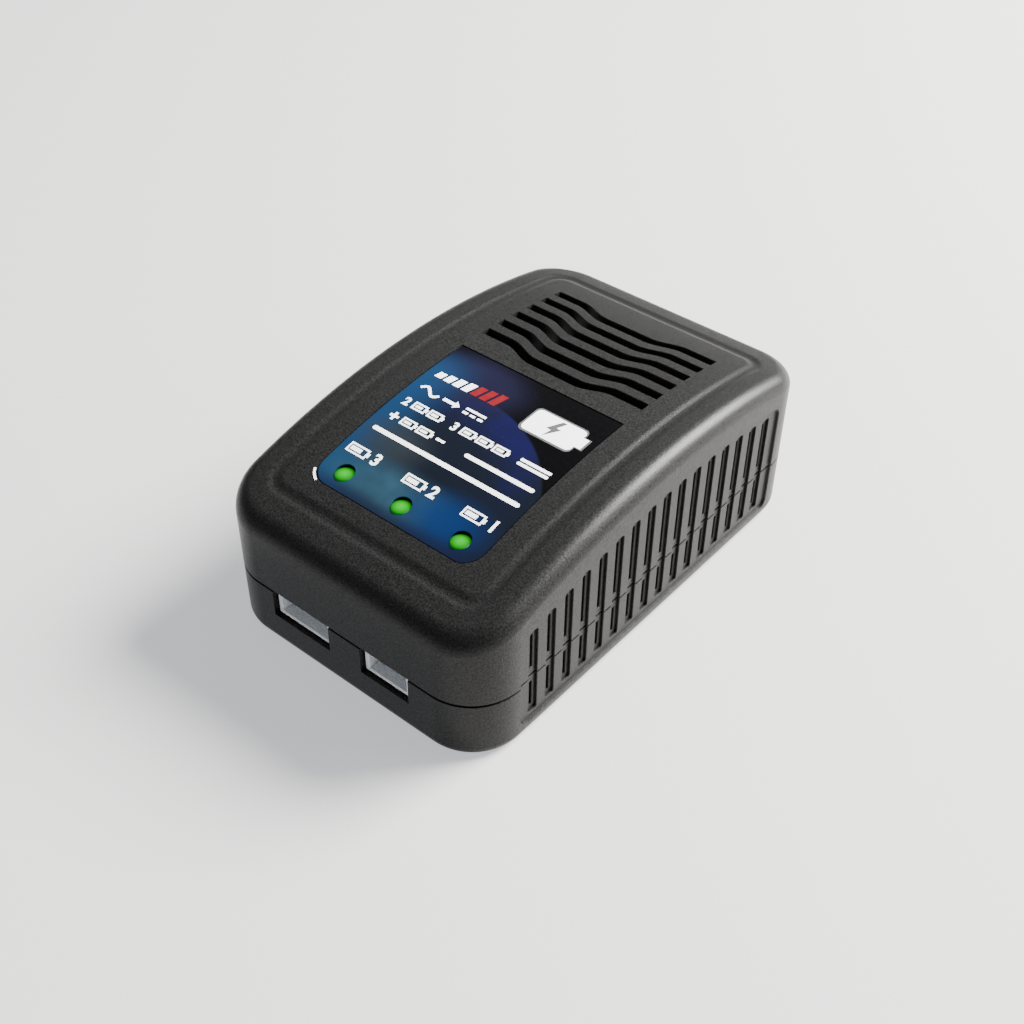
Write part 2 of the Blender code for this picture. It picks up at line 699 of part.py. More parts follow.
def build_ports(paint):
    """Two white wafer sockets with their contacts."""
    rear = PORT_MOUTH + PORT_DEPTH
    top = SEAT + PORT_HEIGHT
    for name, (contacts, centre) in PORTS.items():
        half = port_width(contacts) / 2
        socket = block(name, (centre - half, PORT_MOUTH, SEAT), (centre + half, rear, top), paint["nylon"])
        bm = bmesh.new()
        add_box(bm, (centre - half + PORT_SIDE, -FAR, SEAT + PORT_SHELF),
                (centre + half - PORT_SIDE, rear - PORT_REAR, top - PORT_SHELF))
        combine(socket, add_tool(f"{name}_cavity", bm))
        bm = bmesh.new()
        for side in (-1, 1):
            middle = centre + side * (half - PORT_SIDE - 0.0016)
            add_box(bm, (middle - PORT_KEY_WIDTH / 2, -FAR, top - 2 * PORT_SHELF),
                    (middle + PORT_KEY_WIDTH / 2, PORT_MOUTH + 0.0045, FAR))
        combine(socket, add_tool(f"{name}_keyways", bm))
        bm = bmesh.new()
        reach = CONTACT / 2 + CLEARANCE
        for port, _, x in contact_places():
            if port == name:
                add_box(bm, (x - reach, rear - 2 * PORT_REAR, CONTACT_HEIGHT - reach),
                        (x + reach, rear + PORT_REAR, CONTACT_HEIGHT + reach))
        combine(socket, add_tool(f"{name}_contact_holes", bm))
    half = CONTACT / 2
    for name, number, x in contact_places():
        outline = [
            (CONTACT_FRONT, CONTACT_HEIGHT - half), (CONTACT_TAIL - half, CONTACT_HEIGHT - half),
            (CONTACT_TAIL - half, TAIL_BOTTOM), (CONTACT_TAIL + half, TAIL_BOTTOM),
            (CONTACT_TAIL + half, CONTACT_HEIGHT + half), (CONTACT_FRONT, CONTACT_HEIGHT + half),
        ]
        bm = bmesh.new()
        add_prism(bm, outline, "X", x - half, x + half)
        add_object(f"{name}_contact_{number}", bm, paint["tin"])


def build_inlet(paint):
    """Figure-of-eight mains inlet with two round pins."""
    body = block("mains_inlet", (-INLET_HALF_WIDTH, INLET_FRONT, SEAT),
                 (INLET_HALF_WIDTH, INLET_FLANGE, SEAT + INLET_HEIGHT), paint["inlet"])
    bm = bmesh.new()
    add_prism(bm, nose_outline(0), "Y", INLET_FLANGE - WALL, INLET_NOSE)
    combine(body, add_tool("inlet_nose", bm), "UNION")
    for side in (-1, 1):
        bm = bmesh.new()
        centre = (side * (MAINS_PIN_X - 0.00015), INLET_LEVEL)
        add_cylinder(bm, CAVITY_RADIUS, CAVITY_FLOOR, FAR, centre, "Y")
        combine(body, add_tool(f"inlet_lobe_{'left' if side < 0 else 'right'}", bm))
    bm = bmesh.new()
    add_box(bm, (-MAINS_PIN_X, CAVITY_FLOOR, INLET_LEVEL - CAVITY_WAIST),
            (MAINS_PIN_X, FAR, INLET_LEVEL + CAVITY_WAIST))
    combine(body, add_tool("inlet_waist", bm))
    bm = bmesh.new()
    for x in (-MAINS_PIN_X, MAINS_PIN_X):
        add_cylinder(bm, MAINS_PIN_RADIUS + CLEARANCE, INLET_FRONT - WALL, CAVITY_FLOOR + WALL,
                     (x, INLET_LEVEL), "Y")
    combine(body, add_tool("inlet_pin_holes", bm))

    half = MAINS_TAIL / 2
    for side, x in (("left", -MAINS_PIN_X), ("right", MAINS_PIN_X)):
        profile = [(0, MAINS_TAIL_Y - half), (MAINS_PIN_RADIUS, MAINS_TAIL_Y - half)]
        profile += [(MAINS_PIN_RADIUS, MAINS_PIN_TIP - MAINS_PIN_RADIUS / 2)]
        profile += [(MAINS_PIN_RADIUS / 2, MAINS_PIN_TIP), (0, MAINS_PIN_TIP)]
        pin = turned(f"mains_pin_{side}", profile, (x, INLET_LEVEL), paint["tin"], "Y")
        bm = bmesh.new()
        add_box(bm, (x - half, MAINS_TAIL_Y - half * 0.98, TAIL_BOTTOM),
                (x + half, MAINS_TAIL_Y + half * 0.98, INLET_LEVEL))
        combine(pin, add_tool(f"mains_tail_{side}", bm), "UNION")


def build_lights(paint):
    """Three domed lights on long leads."""
    base = crown(LED_Y, LED_DROP + LED_LENGTH)
    top = crown(LED_Y, LED_DROP)
    dome = LED_RADIUS * 0.94
    profile = [(0, base), (LED_RADIUS + 0.0004, base), (LED_RADIUS + 0.0004, base + 0.001)]
    profile += [(LED_RADIUS, base + 0.001)]
    for angle in (0, 22, 44, 66):
        turn = math.radians(angle)
        profile.append((LED_RADIUS * math.cos(turn), top - dome * (1 - math.sin(turn))))
    profile.append((0, top))
    for index, place in enumerate(led_places(), start=1):
        turned(f"led_{index}", profile, place, paint["light"])
    half = LED_LEAD / 2
    for light, lead, x in lead_places():
        block(f"led_{light}_lead_{lead}", (x - half, LED_Y - half, TAIL_BOTTOM),
              (x + half, LED_Y + half, base - CLEARANCE), paint["tin"])


def wound_core(name, centre, core_size, leg, paint):
    """Ferrite core shaped like a figure of eight, with a coil round its middle leg."""
    width, depth, height = core_size
    low = (centre[0] - width / 2, centre[1] - depth / 2, SEAT)
    high = (centre[0] + width / 2, centre[1] + depth / 2, SEAT + height)
    core = block(f"{name}_core", low, high, paint["ferrite"])
    window_low = SEAT + leg
    window_high = SEAT + height - leg
    windows = bmesh.new()
    for side in (-1, 1):
        inner = centre[0] + side * leg
        outer = centre[0] + side * (width / 2 - leg)
        add_box(windows, (min(inner, outer), -FAR, window_low), (max(inner, outer), FAR, window_high))
    combine(core, add_tool(f"{name}_windows", windows))

    reach = width / 2 - leg - CLEARANCE
    bulge = depth / 2 + (reach - leg)
    outline = rounded_rectangle(centre[0] - reach, centre[0] + reach, centre[1] - bulge, centre[1] + bulge,
                                leg * 0.9, 3)
    bm = bmesh.new()
    add_prism(bm, outline, "Z", window_low + CLEARANCE, window_high - CLEARANCE)
    coil = add_object(f"{name}_coil", bm, paint["winding"])
    bm = bmesh.new()
    bore = leg + CLEARANCE
    bore_depth = depth / 2 + CLEARANCE
    add_box(bm, (centre[0] - bore, centre[1] - bore_depth, 0), (centre[0] + bore, centre[1] + bore_depth, FAR))
    combine(coil, add_tool(f"{name}_coil_bore", bm))


def can(name, centre, radius, height, material):
    """Electrolytic capacitor can with a rolled shoulder."""
    top = SEAT + height
    profile = [(0, SEAT), (radius, SEAT), (radius, SEAT + 0.0016), (radius * 0.94, SEAT + 0.0020)]
    profile += [(radius, SEAT + 0.0024), (radius, top - 0.0005), (radius - 0.0005, top), (0, top)]
    turned(name, profile, centre, material, segments=24)


def disc(name, centre, radius, thickness, axis, material):
    """Radial disc component standing on edge just above the board."""
    middle = centre[0] if axis == "X" else centre[1]
    across = centre[1] if axis == "X" else centre[0]
    edge = thickness * 0.3
    low = middle - thickness / 2
    high = middle + thickness / 2
    profile = [(0, low), (radius - edge, low), (radius, low + edge), (radius, high - edge)]
    profile += [(radius - edge, high), (0, high)]
    turned(name, profile, (across, SEAT + radius + CLEARANCE), material, axis)


def build_supply(paint):
    """Mains side: filter, rectifier, switch, transformer and isolation parts."""
    standing_block("mains_fuse", (-0.0160, 0.0335), (0.0080, 0.0040, 0.0078), paint["fuse"])
    disc("inrush_thermistor", (0.0160, 0.0335), 0.0044, 0.0036, "Y", paint["thermistor"])
    standing_block("filter_capacitor", (-0.0176, 0.0238), (0.0062, 0.0130, 0.0120), paint["film"])
    wound_core("filter_choke", (0.0165, 0.0225), (0.0125, 0.0040, 0.0125), 0.0017, paint)
    standing_block("bridge_rectifier", (0.0000, 0.0225), (0.0085, 0.0064, 0.0034), paint["epoxy"])
    can("bulk_capacitor", (-0.0160, 0.0080), 0.00625, 0.0200, paint["sleeve"])
    wound_core("transformer", (0.0020, 0.0055), (0.0180, 0.0060, 0.0165), 0.0026, paint)
    block("heatsink", (0.0198, -0.0040, SEAT), (0.0213, 0.0140, SEAT + 0.0150), paint["aluminium"], 0.0002)
    block("switching_transistor", (0.0151, 0.0000, SEAT + 0.0030), (0.0195, 0.0100, SEAT + 0.0150),
          paint["epoxy"], 0.0004)
    standing_block("optocoupler", (-0.0100, -0.0065), (0.0046, 0.0064, 0.0035), paint["epoxy"], 0.0003)
    disc("safety_capacitor", (-0.0175, -0.0060), 0.0040, 0.0040, "X", paint["ceramic"])


def build_charger(paint):
    """Charging side: output rectifier, smoothing, controller and cell balancers."""
    can("output_capacitor_1", (0.0100, -0.0110), 0.0040, 0.0120, paint["sleeve"])
    can("output_capacitor_2", (0.0190, -0.0095), 0.0040, 0.0120, paint["sleeve"])
    radius = 0.0025
    profile = [(0, -0.0145), (radius, -0.0145), (radius, -0.0055), (0, -0.0055)]
    turned("output_diode", profile, (0.0030, SEAT + radius), paint["epoxy"], "Y")
    standing_block("charge_controller", (-0.0060, -0.0155), (0.0070, 0.0070, 0.0014), paint["epoxy"], 0.0002)
    for index, x in enumerate((-LED_PITCH, 0, LED_PITCH), start=1):
        standing_block(f"balance_transistor_{index}", (x, -0.0258), (0.0065, 0.0058, 0.0023), paint["epoxy"], 0.0003)
        standing_block(f"balance_resistor_{index}", (x, -0.0206), (0.0063, 0.0031, 0.0007), paint["epoxy"], 0.0001)


def build():
    """Whole charger."""
    clear_scene()
    paint = {
        "case": plastic("case_plastic", (0.060, 0.060, 0.062), 0.48),
        "label": plastic("label_film", (0.020, 0.060, 0.230), 0.25),
        "light": plastic("green_lens", (0.060, 0.720, 0.120), 0.15),
        "nylon": plastic("white_nylon", (0.780, 0.800, 0.820), 0.45),
        "inlet": plastic("inlet_plastic", (0.020, 0.020, 0.022), 0.40),
        "steel": plastic("zinc_steel", (0.550, 0.550, 0.560), 0.35, 1.0),
        "tin": plastic("tinned_contact", (0.700, 0.700, 0.690), 0.30, 1.0),
        "board": plastic("board_laminate", (0.030, 0.180, 0.060), 0.45),
        "ferrite": plastic("ferrite", (0.045, 0.045, 0.048), 0.60),
        "winding": plastic("coil_tape", (0.780, 0.560, 0.080), 0.45),
        "epoxy": plastic("black_epoxy", (0.018, 0.018, 0.020), 0.50),
        "sleeve": plastic("capacitor_sleeve", (0.020, 0.025, 0.050), 0.35),
        "film": plastic("film_box", (0.800, 0.620, 0.080), 0.40),
        "fuse": plastic("fuse_case", (0.200, 0.090, 0.040), 0.45),
        "thermistor": plastic("thermistor_coat", (0.030, 0.090, 0.050), 0.55),
        "ceramic": plastic("disc_coat", (0.050, 0.160, 0.420), 0.50),
        "aluminium": plastic("bare_aluminium", (0.720, 0.720, 0.730), 0.35, 1.0),
    }
    build_case(paint)
    build_board(paint)
    build_ports(paint)
    build_inlet(paint)
    build_lights(paint)
    build_supply(paint)
    build_charger(paint)


build()
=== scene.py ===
"""Looks of the balance charger: fine case shells, printed label, lit lamps, sockets, and studio."""

import json
import math

import bmesh
import bpy
from mathutils import Matrix, Vector


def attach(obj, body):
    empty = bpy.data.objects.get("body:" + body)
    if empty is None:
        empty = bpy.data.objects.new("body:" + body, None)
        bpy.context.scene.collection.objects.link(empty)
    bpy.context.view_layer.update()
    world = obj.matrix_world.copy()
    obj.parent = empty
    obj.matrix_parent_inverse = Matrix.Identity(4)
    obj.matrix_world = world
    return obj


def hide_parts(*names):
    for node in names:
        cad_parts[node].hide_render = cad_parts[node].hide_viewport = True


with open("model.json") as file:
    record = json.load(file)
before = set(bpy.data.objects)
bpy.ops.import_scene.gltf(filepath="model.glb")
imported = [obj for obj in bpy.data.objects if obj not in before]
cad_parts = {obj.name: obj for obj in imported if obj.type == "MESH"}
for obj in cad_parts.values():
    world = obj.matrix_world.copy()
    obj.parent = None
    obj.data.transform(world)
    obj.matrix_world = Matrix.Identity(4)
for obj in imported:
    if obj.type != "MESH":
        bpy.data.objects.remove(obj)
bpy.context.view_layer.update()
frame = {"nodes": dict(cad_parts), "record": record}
NODES = frame["nodes"]

# ---- Camera ----
CAMERA_PLACE = Vector((0.12105, -0.14913, 0.17551))
CAMERA_AZIMUTH = math.radians(39.67)
CAMERA_ELEVATION = math.radians(41.07)
CAMERA_ROLL = math.radians(0.52)
CAMERA_LENS = 49.88
SENSOR = 36.0

# ---- Case, in metres, as in the CAD ----
CASE_WIDTH = 0.058
CASE_LENGTH = 0.091
CORNER_RADIUS = 0.0097
PARTING_HEIGHT = 0.012
WALL = 0.0018
CLEARANCE = 0.0003
BASE_ROUNDING = 0.0022
TOP_ROUNDING = 0.003
CROWN_RADIUS = 0.1446
CROWN_HEIGHT = 0.0344
CROWN_Y = 0.0056
SHOULDER_DROP = 0.00006
GROOVE_DROP = 0.00030
GROOVE_OUTER_INSET = 0.0048
GROOVE_INNER_INSET = 0.0078
PANEL_FRONT_SHIFT = 0.0008
PANEL_BACK_SHIFT = 0.0010
CEILING_DROP = 0.0023
TONGUE_INSET = 0.0013
TONGUE_HEIGHT = 0.0012
REBATE_INSET = TONGUE_INSET - CLEARANCE
PARTING_GAP = 0.00040
EDGE_SOFTENING = 0.00018
SLOT_SOFTENING = 0.00009

# ---- Ventilation ----
SIDE_SLOTS = 16
SIDE_SLOT_PITCH = 0.00427
SIDE_SLOT_WIDTH = 0.0021
SIDE_SLOT_FIRST_Y = -0.03215
SIDE_SLOT_CORNER = 0.00045
SIDE_SLOT_DEPTH = 0.00045
SIDE_SLOT_BOTTOM = 0.00405
SIDE_SLOT_DROP = 0.0075
SLIT_WIDTH = 0.0006
SLIT_END_MARGIN = 0.0010
SLIT_BRIDGE = 0.0016
RECESS_DEPTH = 0.00045
RECESS_HALF_LENGTH = 0.0355
RECESS_BOTTOM = 0.0028
RECESS_DROP = 0.0061
RECESS_CORNER = 0.0016
TOP_SLOTS = 6
TOP_SLOT_PITCH = 0.00409
TOP_SLOT_WIDTH = 0.0019
TOP_SLOT_HALF_LENGTH = 0.0175
TOP_SLOT_FIRST_Y = 0.01017
TOP_SLOT_WAVE = 0.00205
TOP_SLOT_FLOOR = 0.026
WAVE_MIDDLE = 0.493
WAVE_REACH = 0.332
WAVE_SLOPE = 0.19

# ---- Label and lights ----
LABEL_HALF_WIDTH = 0.01736
LABEL_FRONT = -0.0338
LABEL_REAR = 0.0039
LABEL_CORNER = 0.0035
LABEL_THICKNESS = 0.00025
LABEL_DROP = 0.0001
INK_THICKNESS = 0.00003
INK_GAP = 0.000004
INK_STRIP = 0.0012
FONT_SIZE = 1.45
FONT_BOLDNESS = 0.05
LED_PITCH = 0.0125
LED_Y = -0.0305
LED_RADIUS = 0.0015
LENS_RADIUS = 0.00170
LENS_BULGE = 0.14
LED_LENGTH = 0.0053
LED_DROP = 0.00018
LED_HOLE_FLOOR = 0.020
LED_FLANGE = 0.0004
LED_FLANGE_HEIGHT = 0.001

# ---- Sockets, inlet and screws ----
BOARD_BOTTOM = 0.0050
BOARD_TOP = 0.0066
SEAT = BOARD_TOP + CLEARANCE
BOSS_X = 0.0222
BOSS_Y = 0.0387
LOWER_BOSS_RADIUS = 0.0034
UPPER_BOSS_RADIUS = 0.0028
SCREW_RADIUS = 0.0012
SCREW_HEAD_RADIUS = 0.0023
SCREW_HEAD_HEIGHT = 0.0022
SCREW_SINK = 0.0005
SCREW_TIP = 0.0140
SCREW_EDGE = 0.0005
SCREW_PLAIN = 0.002
SCREW_THREADS = 16
CROSS_REACH = 0.0013
CROSS_HALF_WIDTH = 0.00028
CROSS_DEPTH = 0.0011
POST_X = 0.0215
POST_Y = -0.0160
POST_RADIUS = 0.0024
BOARD_SCREW_RADIUS = 0.0009
CONTACT_PITCH = 0.0025
CONTACT = 0.00064
PORTS = {"balance_port_3s": (4, -0.00955), "balance_port_2s": (3, 0.0092)}
PORT_MARGIN = 0.0049
PORT_HEIGHT = 0.00575
PORT_MOUTH = -0.0446
PORT_DEPTH = 0.0077
PORT_SIDE = 0.0009
PORT_SHELF = 0.0007
PORT_REAR = 0.0012
PORT_KEY_WIDTH = 0.0011
PORT_KEY_LENGTH = 0.0045
PORT_KEY_INSET = 0.0016
PORT_SOFTENING = 0.00010
PORT_NOTCH_BOTTOM = 0.0066
PORT_NOTCH_GAP = 0.00025
CONTACT_HEIGHT = SEAT + 0.0029
INLET_HALF_WIDTH = 0.0100
INLET_HEIGHT = 0.0114
INLET_FRONT = 0.0290
INLET_FLANGE = 0.0434
INLET_NOSE = 0.0452
INLET_LEVEL = SEAT + INLET_HEIGHT / 2
NOSE_HALF_LENGTH = 0.0096
NOSE_RADIUS = 0.0054
CAVITY_RADIUS = 0.0041
CAVITY_FLOOR = 0.0342
CAVITY_WAIST = 0.0028
CAVITY_SHIFT = 0.00015
MAINS_PIN_X = 0.0043
MAINS_PIN_RADIUS = 0.0012

# ---- Fineness ----
CORNER_STEPS = 20
SIDE_STEPS = 64
ROUNDING_STEPS = 9
ARC_STEPS = 10
CORNER_ARC_STEPS = 6
WAVE_STEPS = 56
SINE_STEPS = 28
DOME_STEPS = 12
ROUND_SEGMENTS = 48
SHARP_ANGLE = math.radians(32)
FAR = 0.060
MM = 0.001


def aim_camera():
    """Camera at the photograph's angle."""
    data = bpy.data.cameras.new("camera")
    data.sensor_width = SENSOR
    data.lens = CAMERA_LENS
    data.clip_start = 0.01
    camera = bpy.data.objects.new("camera", data)
    bpy.context.scene.collection.objects.link(camera)
    turn = Matrix.Rotation(CAMERA_AZIMUTH, 4, "Z")
    turn @= Matrix.Rotation(math.pi / 2 - CAMERA_ELEVATION, 4, "X")
    turn @= Matrix.Rotation(CAMERA_ROLL, 4, "Z")
    camera.matrix_world = Matrix.Translation(CAMERA_PLACE) @ turn
    bpy.context.scene.camera = camera


# ---- Building blocks ----

def add_object(name, bm, material=None):
    """Turn a bmesh into an object with outward faces."""
    bmesh.ops.recalc_face_normals(bm, faces=bm.faces)
    mesh = bpy.data.meshes.new(name)
    bm.to_mesh(mesh)
    bm.free()
    if material is not None:
        mesh.materials.append(material)
    created = bpy.data.objects.new(name, mesh)
    bpy.context.scene.collection.objects.link(created)
    return created


def combine(target, bm, operation="DIFFERENCE"):
    """Cut a bmesh out of a target, or join it on, and keep the result as the target's own mesh."""
    tool = add_object("tool", bm)
    modifier = target.modifiers.new("tool", "BOOLEAN")
    modifier.operation = operation
    modifier.solver = "EXACT"
    modifier.object = tool
    apply_modifiers(target)
    bpy.data.objects.remove(tool)


def finish_piece(piece, slot, *replaced):
    """Set the piece's shading, then tie it to the frame."""
    shade(piece)
    piece.data.name = piece.name
    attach(piece, "root")
    if replaced:
        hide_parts(*replaced)


def arc_points(centre_a, centre_b, radius, start, end, steps=ARC_STEPS):
    """Points on an arc from one angle to another, in degrees, both ends included."""
    angles = [math.radians(start + (end - start) * k / steps) for k in range(steps + 1)]
    return [(centre_a + radius * math.cos(t), centre_b + radius * math.sin(t)) for t in angles]


def rounded_rectangle(low_a, high_a, low_b, high_b, radius, steps=ARC_STEPS):
    """Closed outline of a rectangle with rounded corners, anticlockwise."""
    points = arc_points(high_a - radius, low_b + radius, radius, -90, 0, steps)
    points += arc_points(high_a - radius, high_b - radius, radius, 0, 90, steps)
    points += arc_points(low_a + radius, high_b - radius, radius, 90, 180, steps)
    points += arc_points(low_a + radius, low_b + radius, radius, 180, 270, steps)
    return points


def smooth(part):
    """S-shaped ease from 0 to 1."""
    return part * part * (3 - 2 * part)


AXES = {
    "X": lambda a, b, along: (along, a, b),
    "Y": lambda a, b, along: (a, along, b),
    "Z": lambda a, b, along: (a, b, along),
}


def join_loops(bm, near, far):
    """Wall of faces between two matching closed loops."""
    for k in range(len(near)):
        following = (k + 1) % len(near)
        bm.faces.new((near[k], near[following], far[following], far[k]))


def add_stack(bm, outlines, axis):
    """Closed solid through matching outlines; each is (points, place along the axis).

    The place is a number, or a rule that takes the point's second coordinate.
    """
    loops = []
    for points, along in outlines:
        rule = along if callable(along) else (lambda _, value=along: value)
        loops.append([bm.verts.new(AXES[axis](a, b, rule(b))) for a, b in points])
    bm.faces.new(loops[0][::-1])
    bm.faces.new(loops[-1])
    for near, far in zip(loops, loops[1:]):
        join_loops(bm, near, far)


def add_box(bm, low, high):
    """Box between two corners."""
    outline = [(low[0], low[1]), (high[0], low[1]), (high[0], high[1]), (low[0], high[1])]
    add_stack(bm, [(outline, low[2]), (outline, high[2])], "Z")


def add_turned(bm, profile, centre, axis="Z", segments=ROUND_SEGMENTS):
    """Solid of revolution; profile runs along the axis as (radius, level) and ends at radius 0."""
    def place(a, b, level):
        return AXES[axis](centre[0] + a, centre[1] + b, level)

    turns = [2 * math.pi * k / segments for k in range(segments)]
    first = bm.verts.new(place(0, 0, profile[0][1]))
    last = bm.verts.new(place(0, 0, profile[-1][1]))
    rings = []
    for radius, level in profile[1:-1]:
        rings.append([bm.verts.new(place(radius * math.cos(t), radius * math.sin(t), level)) for t in turns])
    for k in range(segments):
        following = (k + 1) % segments
        bm.faces.new((first, rings[0][following], rings[0][k]))
        bm.faces.new((last, rings[-1][k], rings[-1][following]))
        for lower, upper in zip(rings, rings[1:]):
            bm.faces.new((lower[k], lower[following], upper[following], upper[k]))


def add_pin(bm, radius, low, high, centre, axis="Z"):
    """Plain round bar between two levels."""
    add_turned(bm, [(0, low), (radius, low), (radius, high), (0, high)], centre, axis)


def cut_boxes(piece, boxes):
    """Cut boxes out of a piece; each box is two corners."""
    bm = bmesh.new()
    for low, high in boxes:
        add_box(bm, low, high)
    combine(piece, bm)


def apply_modifiers(piece):
    """Make the modified shape the piece's own mesh."""
    graph = bpy.context.evaluated_depsgraph_get()
    shaped = bpy.data.meshes.new_from_object(piece.evaluated_get(graph))
    piece.modifiers.clear()
    piece.data = shaped


def soften(piece, width, segments=2):
    """Small rounding on a piece's sharp edges."""
    bevel = piece.modifiers.new("edges", "BEVEL")
    bevel.width = width
    bevel.segments = segments
    bevel.limit_method = "ANGLE"
    bevel.angle_limit = SHARP_ANGLE
    apply_modifiers(piece)


def shade(piece):
    """Smooth shading with crisp edges, led by the large faces, so that walls stay flat beside cuts."""
    piece.data.shade_smooth()
    piece.data.set_sharp_from_angle(angle=SHARP_ANGLE)
    weighted = piece.modifiers.new("normals", "WEIGHTED_NORMAL")
    weighted.mode = "FACE_AREA"
    weighted.weight = 80
    weighted.keep_sharp = True
    apply_modifiers(piece)


# ---- Materials ----

class Paint:
    """Node material around one Principled BSDF, in the object's own metres."""

    def __init__(self, name, roughness, metallic=0.0, specular=0.5):
        self.material = bpy.data.materials.new(name)
        self.material.use_nodes = True
        self.tree = self.material.node_tree
        self.shader = self.tree.nodes["Principled BSDF"]
        self.shader.inputs["Roughness"].default_value = roughness
        self.shader.inputs["Metallic"].default_value = metallic
        self.shader.inputs["Specular IOR Level"].default_value = specular
        self.place = self.tree.nodes.new("ShaderNodeTexCoord").outputs["Object"]

    def link(self, source, target):
        """Join two sockets."""
        self.tree.links.new(source, target)

    def noise(self, scale, detail=3.0, place=None):
        """Noise with scale in cycles per metre."""
        node = self.tree.nodes.new("ShaderNodeTexNoise")
        node.inputs["Scale"].default_value = scale
        node.inputs["Detail"].default_value = detail
        self.link(place or self.place, node.inputs["Vector"])
        return node.outputs["Fac"]

    def ramp(self, factor, stops):
        """Colour ramp over (position, colour) stops."""
        node = self.tree.nodes.new("ShaderNodeValToRGB")
        elements = node.color_ramp.elements
        while len(elements) < len(stops):
            elements.new(0.5)
        for element, (position, colour) in zip(elements, stops):
            element.position = position
            element.color = (*colour, 1.0)
        self.link(factor, node.inputs["Fac"])
        return node.outputs["Color"]

    def spread(self, factor, low, high, start=0.0, end=1.0, kind="LINEAR"):
        """Map a factor from start..end to low..high."""
        node = self.tree.nodes.new("ShaderNodeMapRange")
        node.interpolation_type = kind
        for name, value in (("From Min", start), ("From Max", end), ("To Min", low), ("To Max", high)):
            node.inputs[name].default_value = value
        self.link(factor, node.inputs["Value"])
        return node.outputs["Result"]

    def math(self, operation, a, b=None):
        """Math node on sockets or numbers."""
        node = self.tree.nodes.new("ShaderNodeMath")
        node.operation = operation
        for socket, value in zip(node.inputs, (a, b)):
            if isinstance(value, (int, float)):
                socket.default_value = value
            elif value is not None:
                self.link(value, socket)
        return node.outputs["Value"]

    def times(self, a, b):
        """Product of two factors."""
        return self.math("MULTIPLY", a, b)

    def split(self, vector):
        """First two coordinates of a vector."""
        node = self.tree.nodes.new("ShaderNodeSeparateXYZ")
        self.link(vector, node.inputs["Vector"])
        return node.outputs["X"], node.outputs["Y"]

    def radius(self, x, y, centre_x, centre_y, stretch=1.0):
        """Distance from a centre, with x stretched."""
        across = self.times(self.math("SUBTRACT", x, centre_x), stretch)
        along = self.math("SUBTRACT", y, centre_y)
        total = self.math("ADD", self.math("POWER", across, 2), self.math("POWER", along, 2))
        return self.math("SQRT", total)

    def blend(self, factor, first, second):
        """Colour mix; first and second are sockets or colours."""
        node = self.tree.nodes.new("ShaderNodeMix")
        node.data_type = "RGBA"
        self.link(factor, node.inputs["Factor"])
        for key, value in (("A", first), ("B", second)):
            socket = [s for s in node.inputs if s.name == key and s.type == "RGBA"][0]
            if isinstance(value, tuple):
                socket.default_value = (*value, 1.0)
            else:
                self.link(value, socket)
        return [s for s in node.outputs if s.type == "RGBA"][0]

    def bump(self, height, distance, strength=1.0, under=None):
        """Bump from a height socket, with its depth in metres."""
        node = self.tree.nodes.new("ShaderNodeBump")
        node.inputs["Distance"].default_value = distance
        node.inputs["Strength"].default_value = strength
        self.link(height, node.inputs["Height"])
        if under is not None:
            self.link(under, node.inputs["Normal"])
        return node.outputs["Normal"]

    def set(self, name, source):
        """Feed a shader input."""
        self.link(source, self.shader.inputs[name])


def case_plastic():
    """Charcoal moulded plastic with spark-eroded grain."""
    paint = Paint("case_plastic", 0.38, specular=0.16)
    grain = paint.noise(3500, 3.0)
    fine = paint.noise(8500, 2.0)
    broad = paint.noise(90, 2.0)
    speckle = paint.ramp(grain, [(0.32, (0.0032, 0.0032, 0.0032)), (0.68, (0.0148, 0.0148, 0.0147))])
    tint = paint.spread(broad, 0.0, 0.20, 0.35, 0.65)
    paint.set("Base Color", paint.blend(tint, speckle, (0.0085, 0.0085, 0.0085)))
    paint.set("Roughness", paint.spread(fine, 0.30, 0.42, 0.3, 0.7))
    paint.set("Specular IOR Level", paint.spread(grain, 0.11, 0.16, 0.32, 0.68))
    coarse_bump = paint.bump(grain, 0.00006, 0.55)
    paint.set("Normal", paint.bump(fine, 0.00003, 0.5, coarse_bump))
    return paint.material


def moulded(name, colour, roughness, grain, variation=0.18, depth=0.00002):
    """Plain material with fine mottling, slight roughness change and a little relief."""
    paint = Paint(name, roughness)
    mottle = paint.noise(grain)
    low = tuple(value * (1 - variation) for value in colour)
    high = tuple(min(value * (1 + variation), 1.0) for value in colour)
    paint.set("Base Color", paint.ramp(mottle, [(0.3, low), (0.7, high)]))
    paint.set("Roughness", paint.spread(paint.noise(grain / 3), roughness * 0.8, roughness * 1.2, 0.3, 0.7))
    paint.set("Normal", paint.bump(mottle, depth, 0.4))
    return paint.material


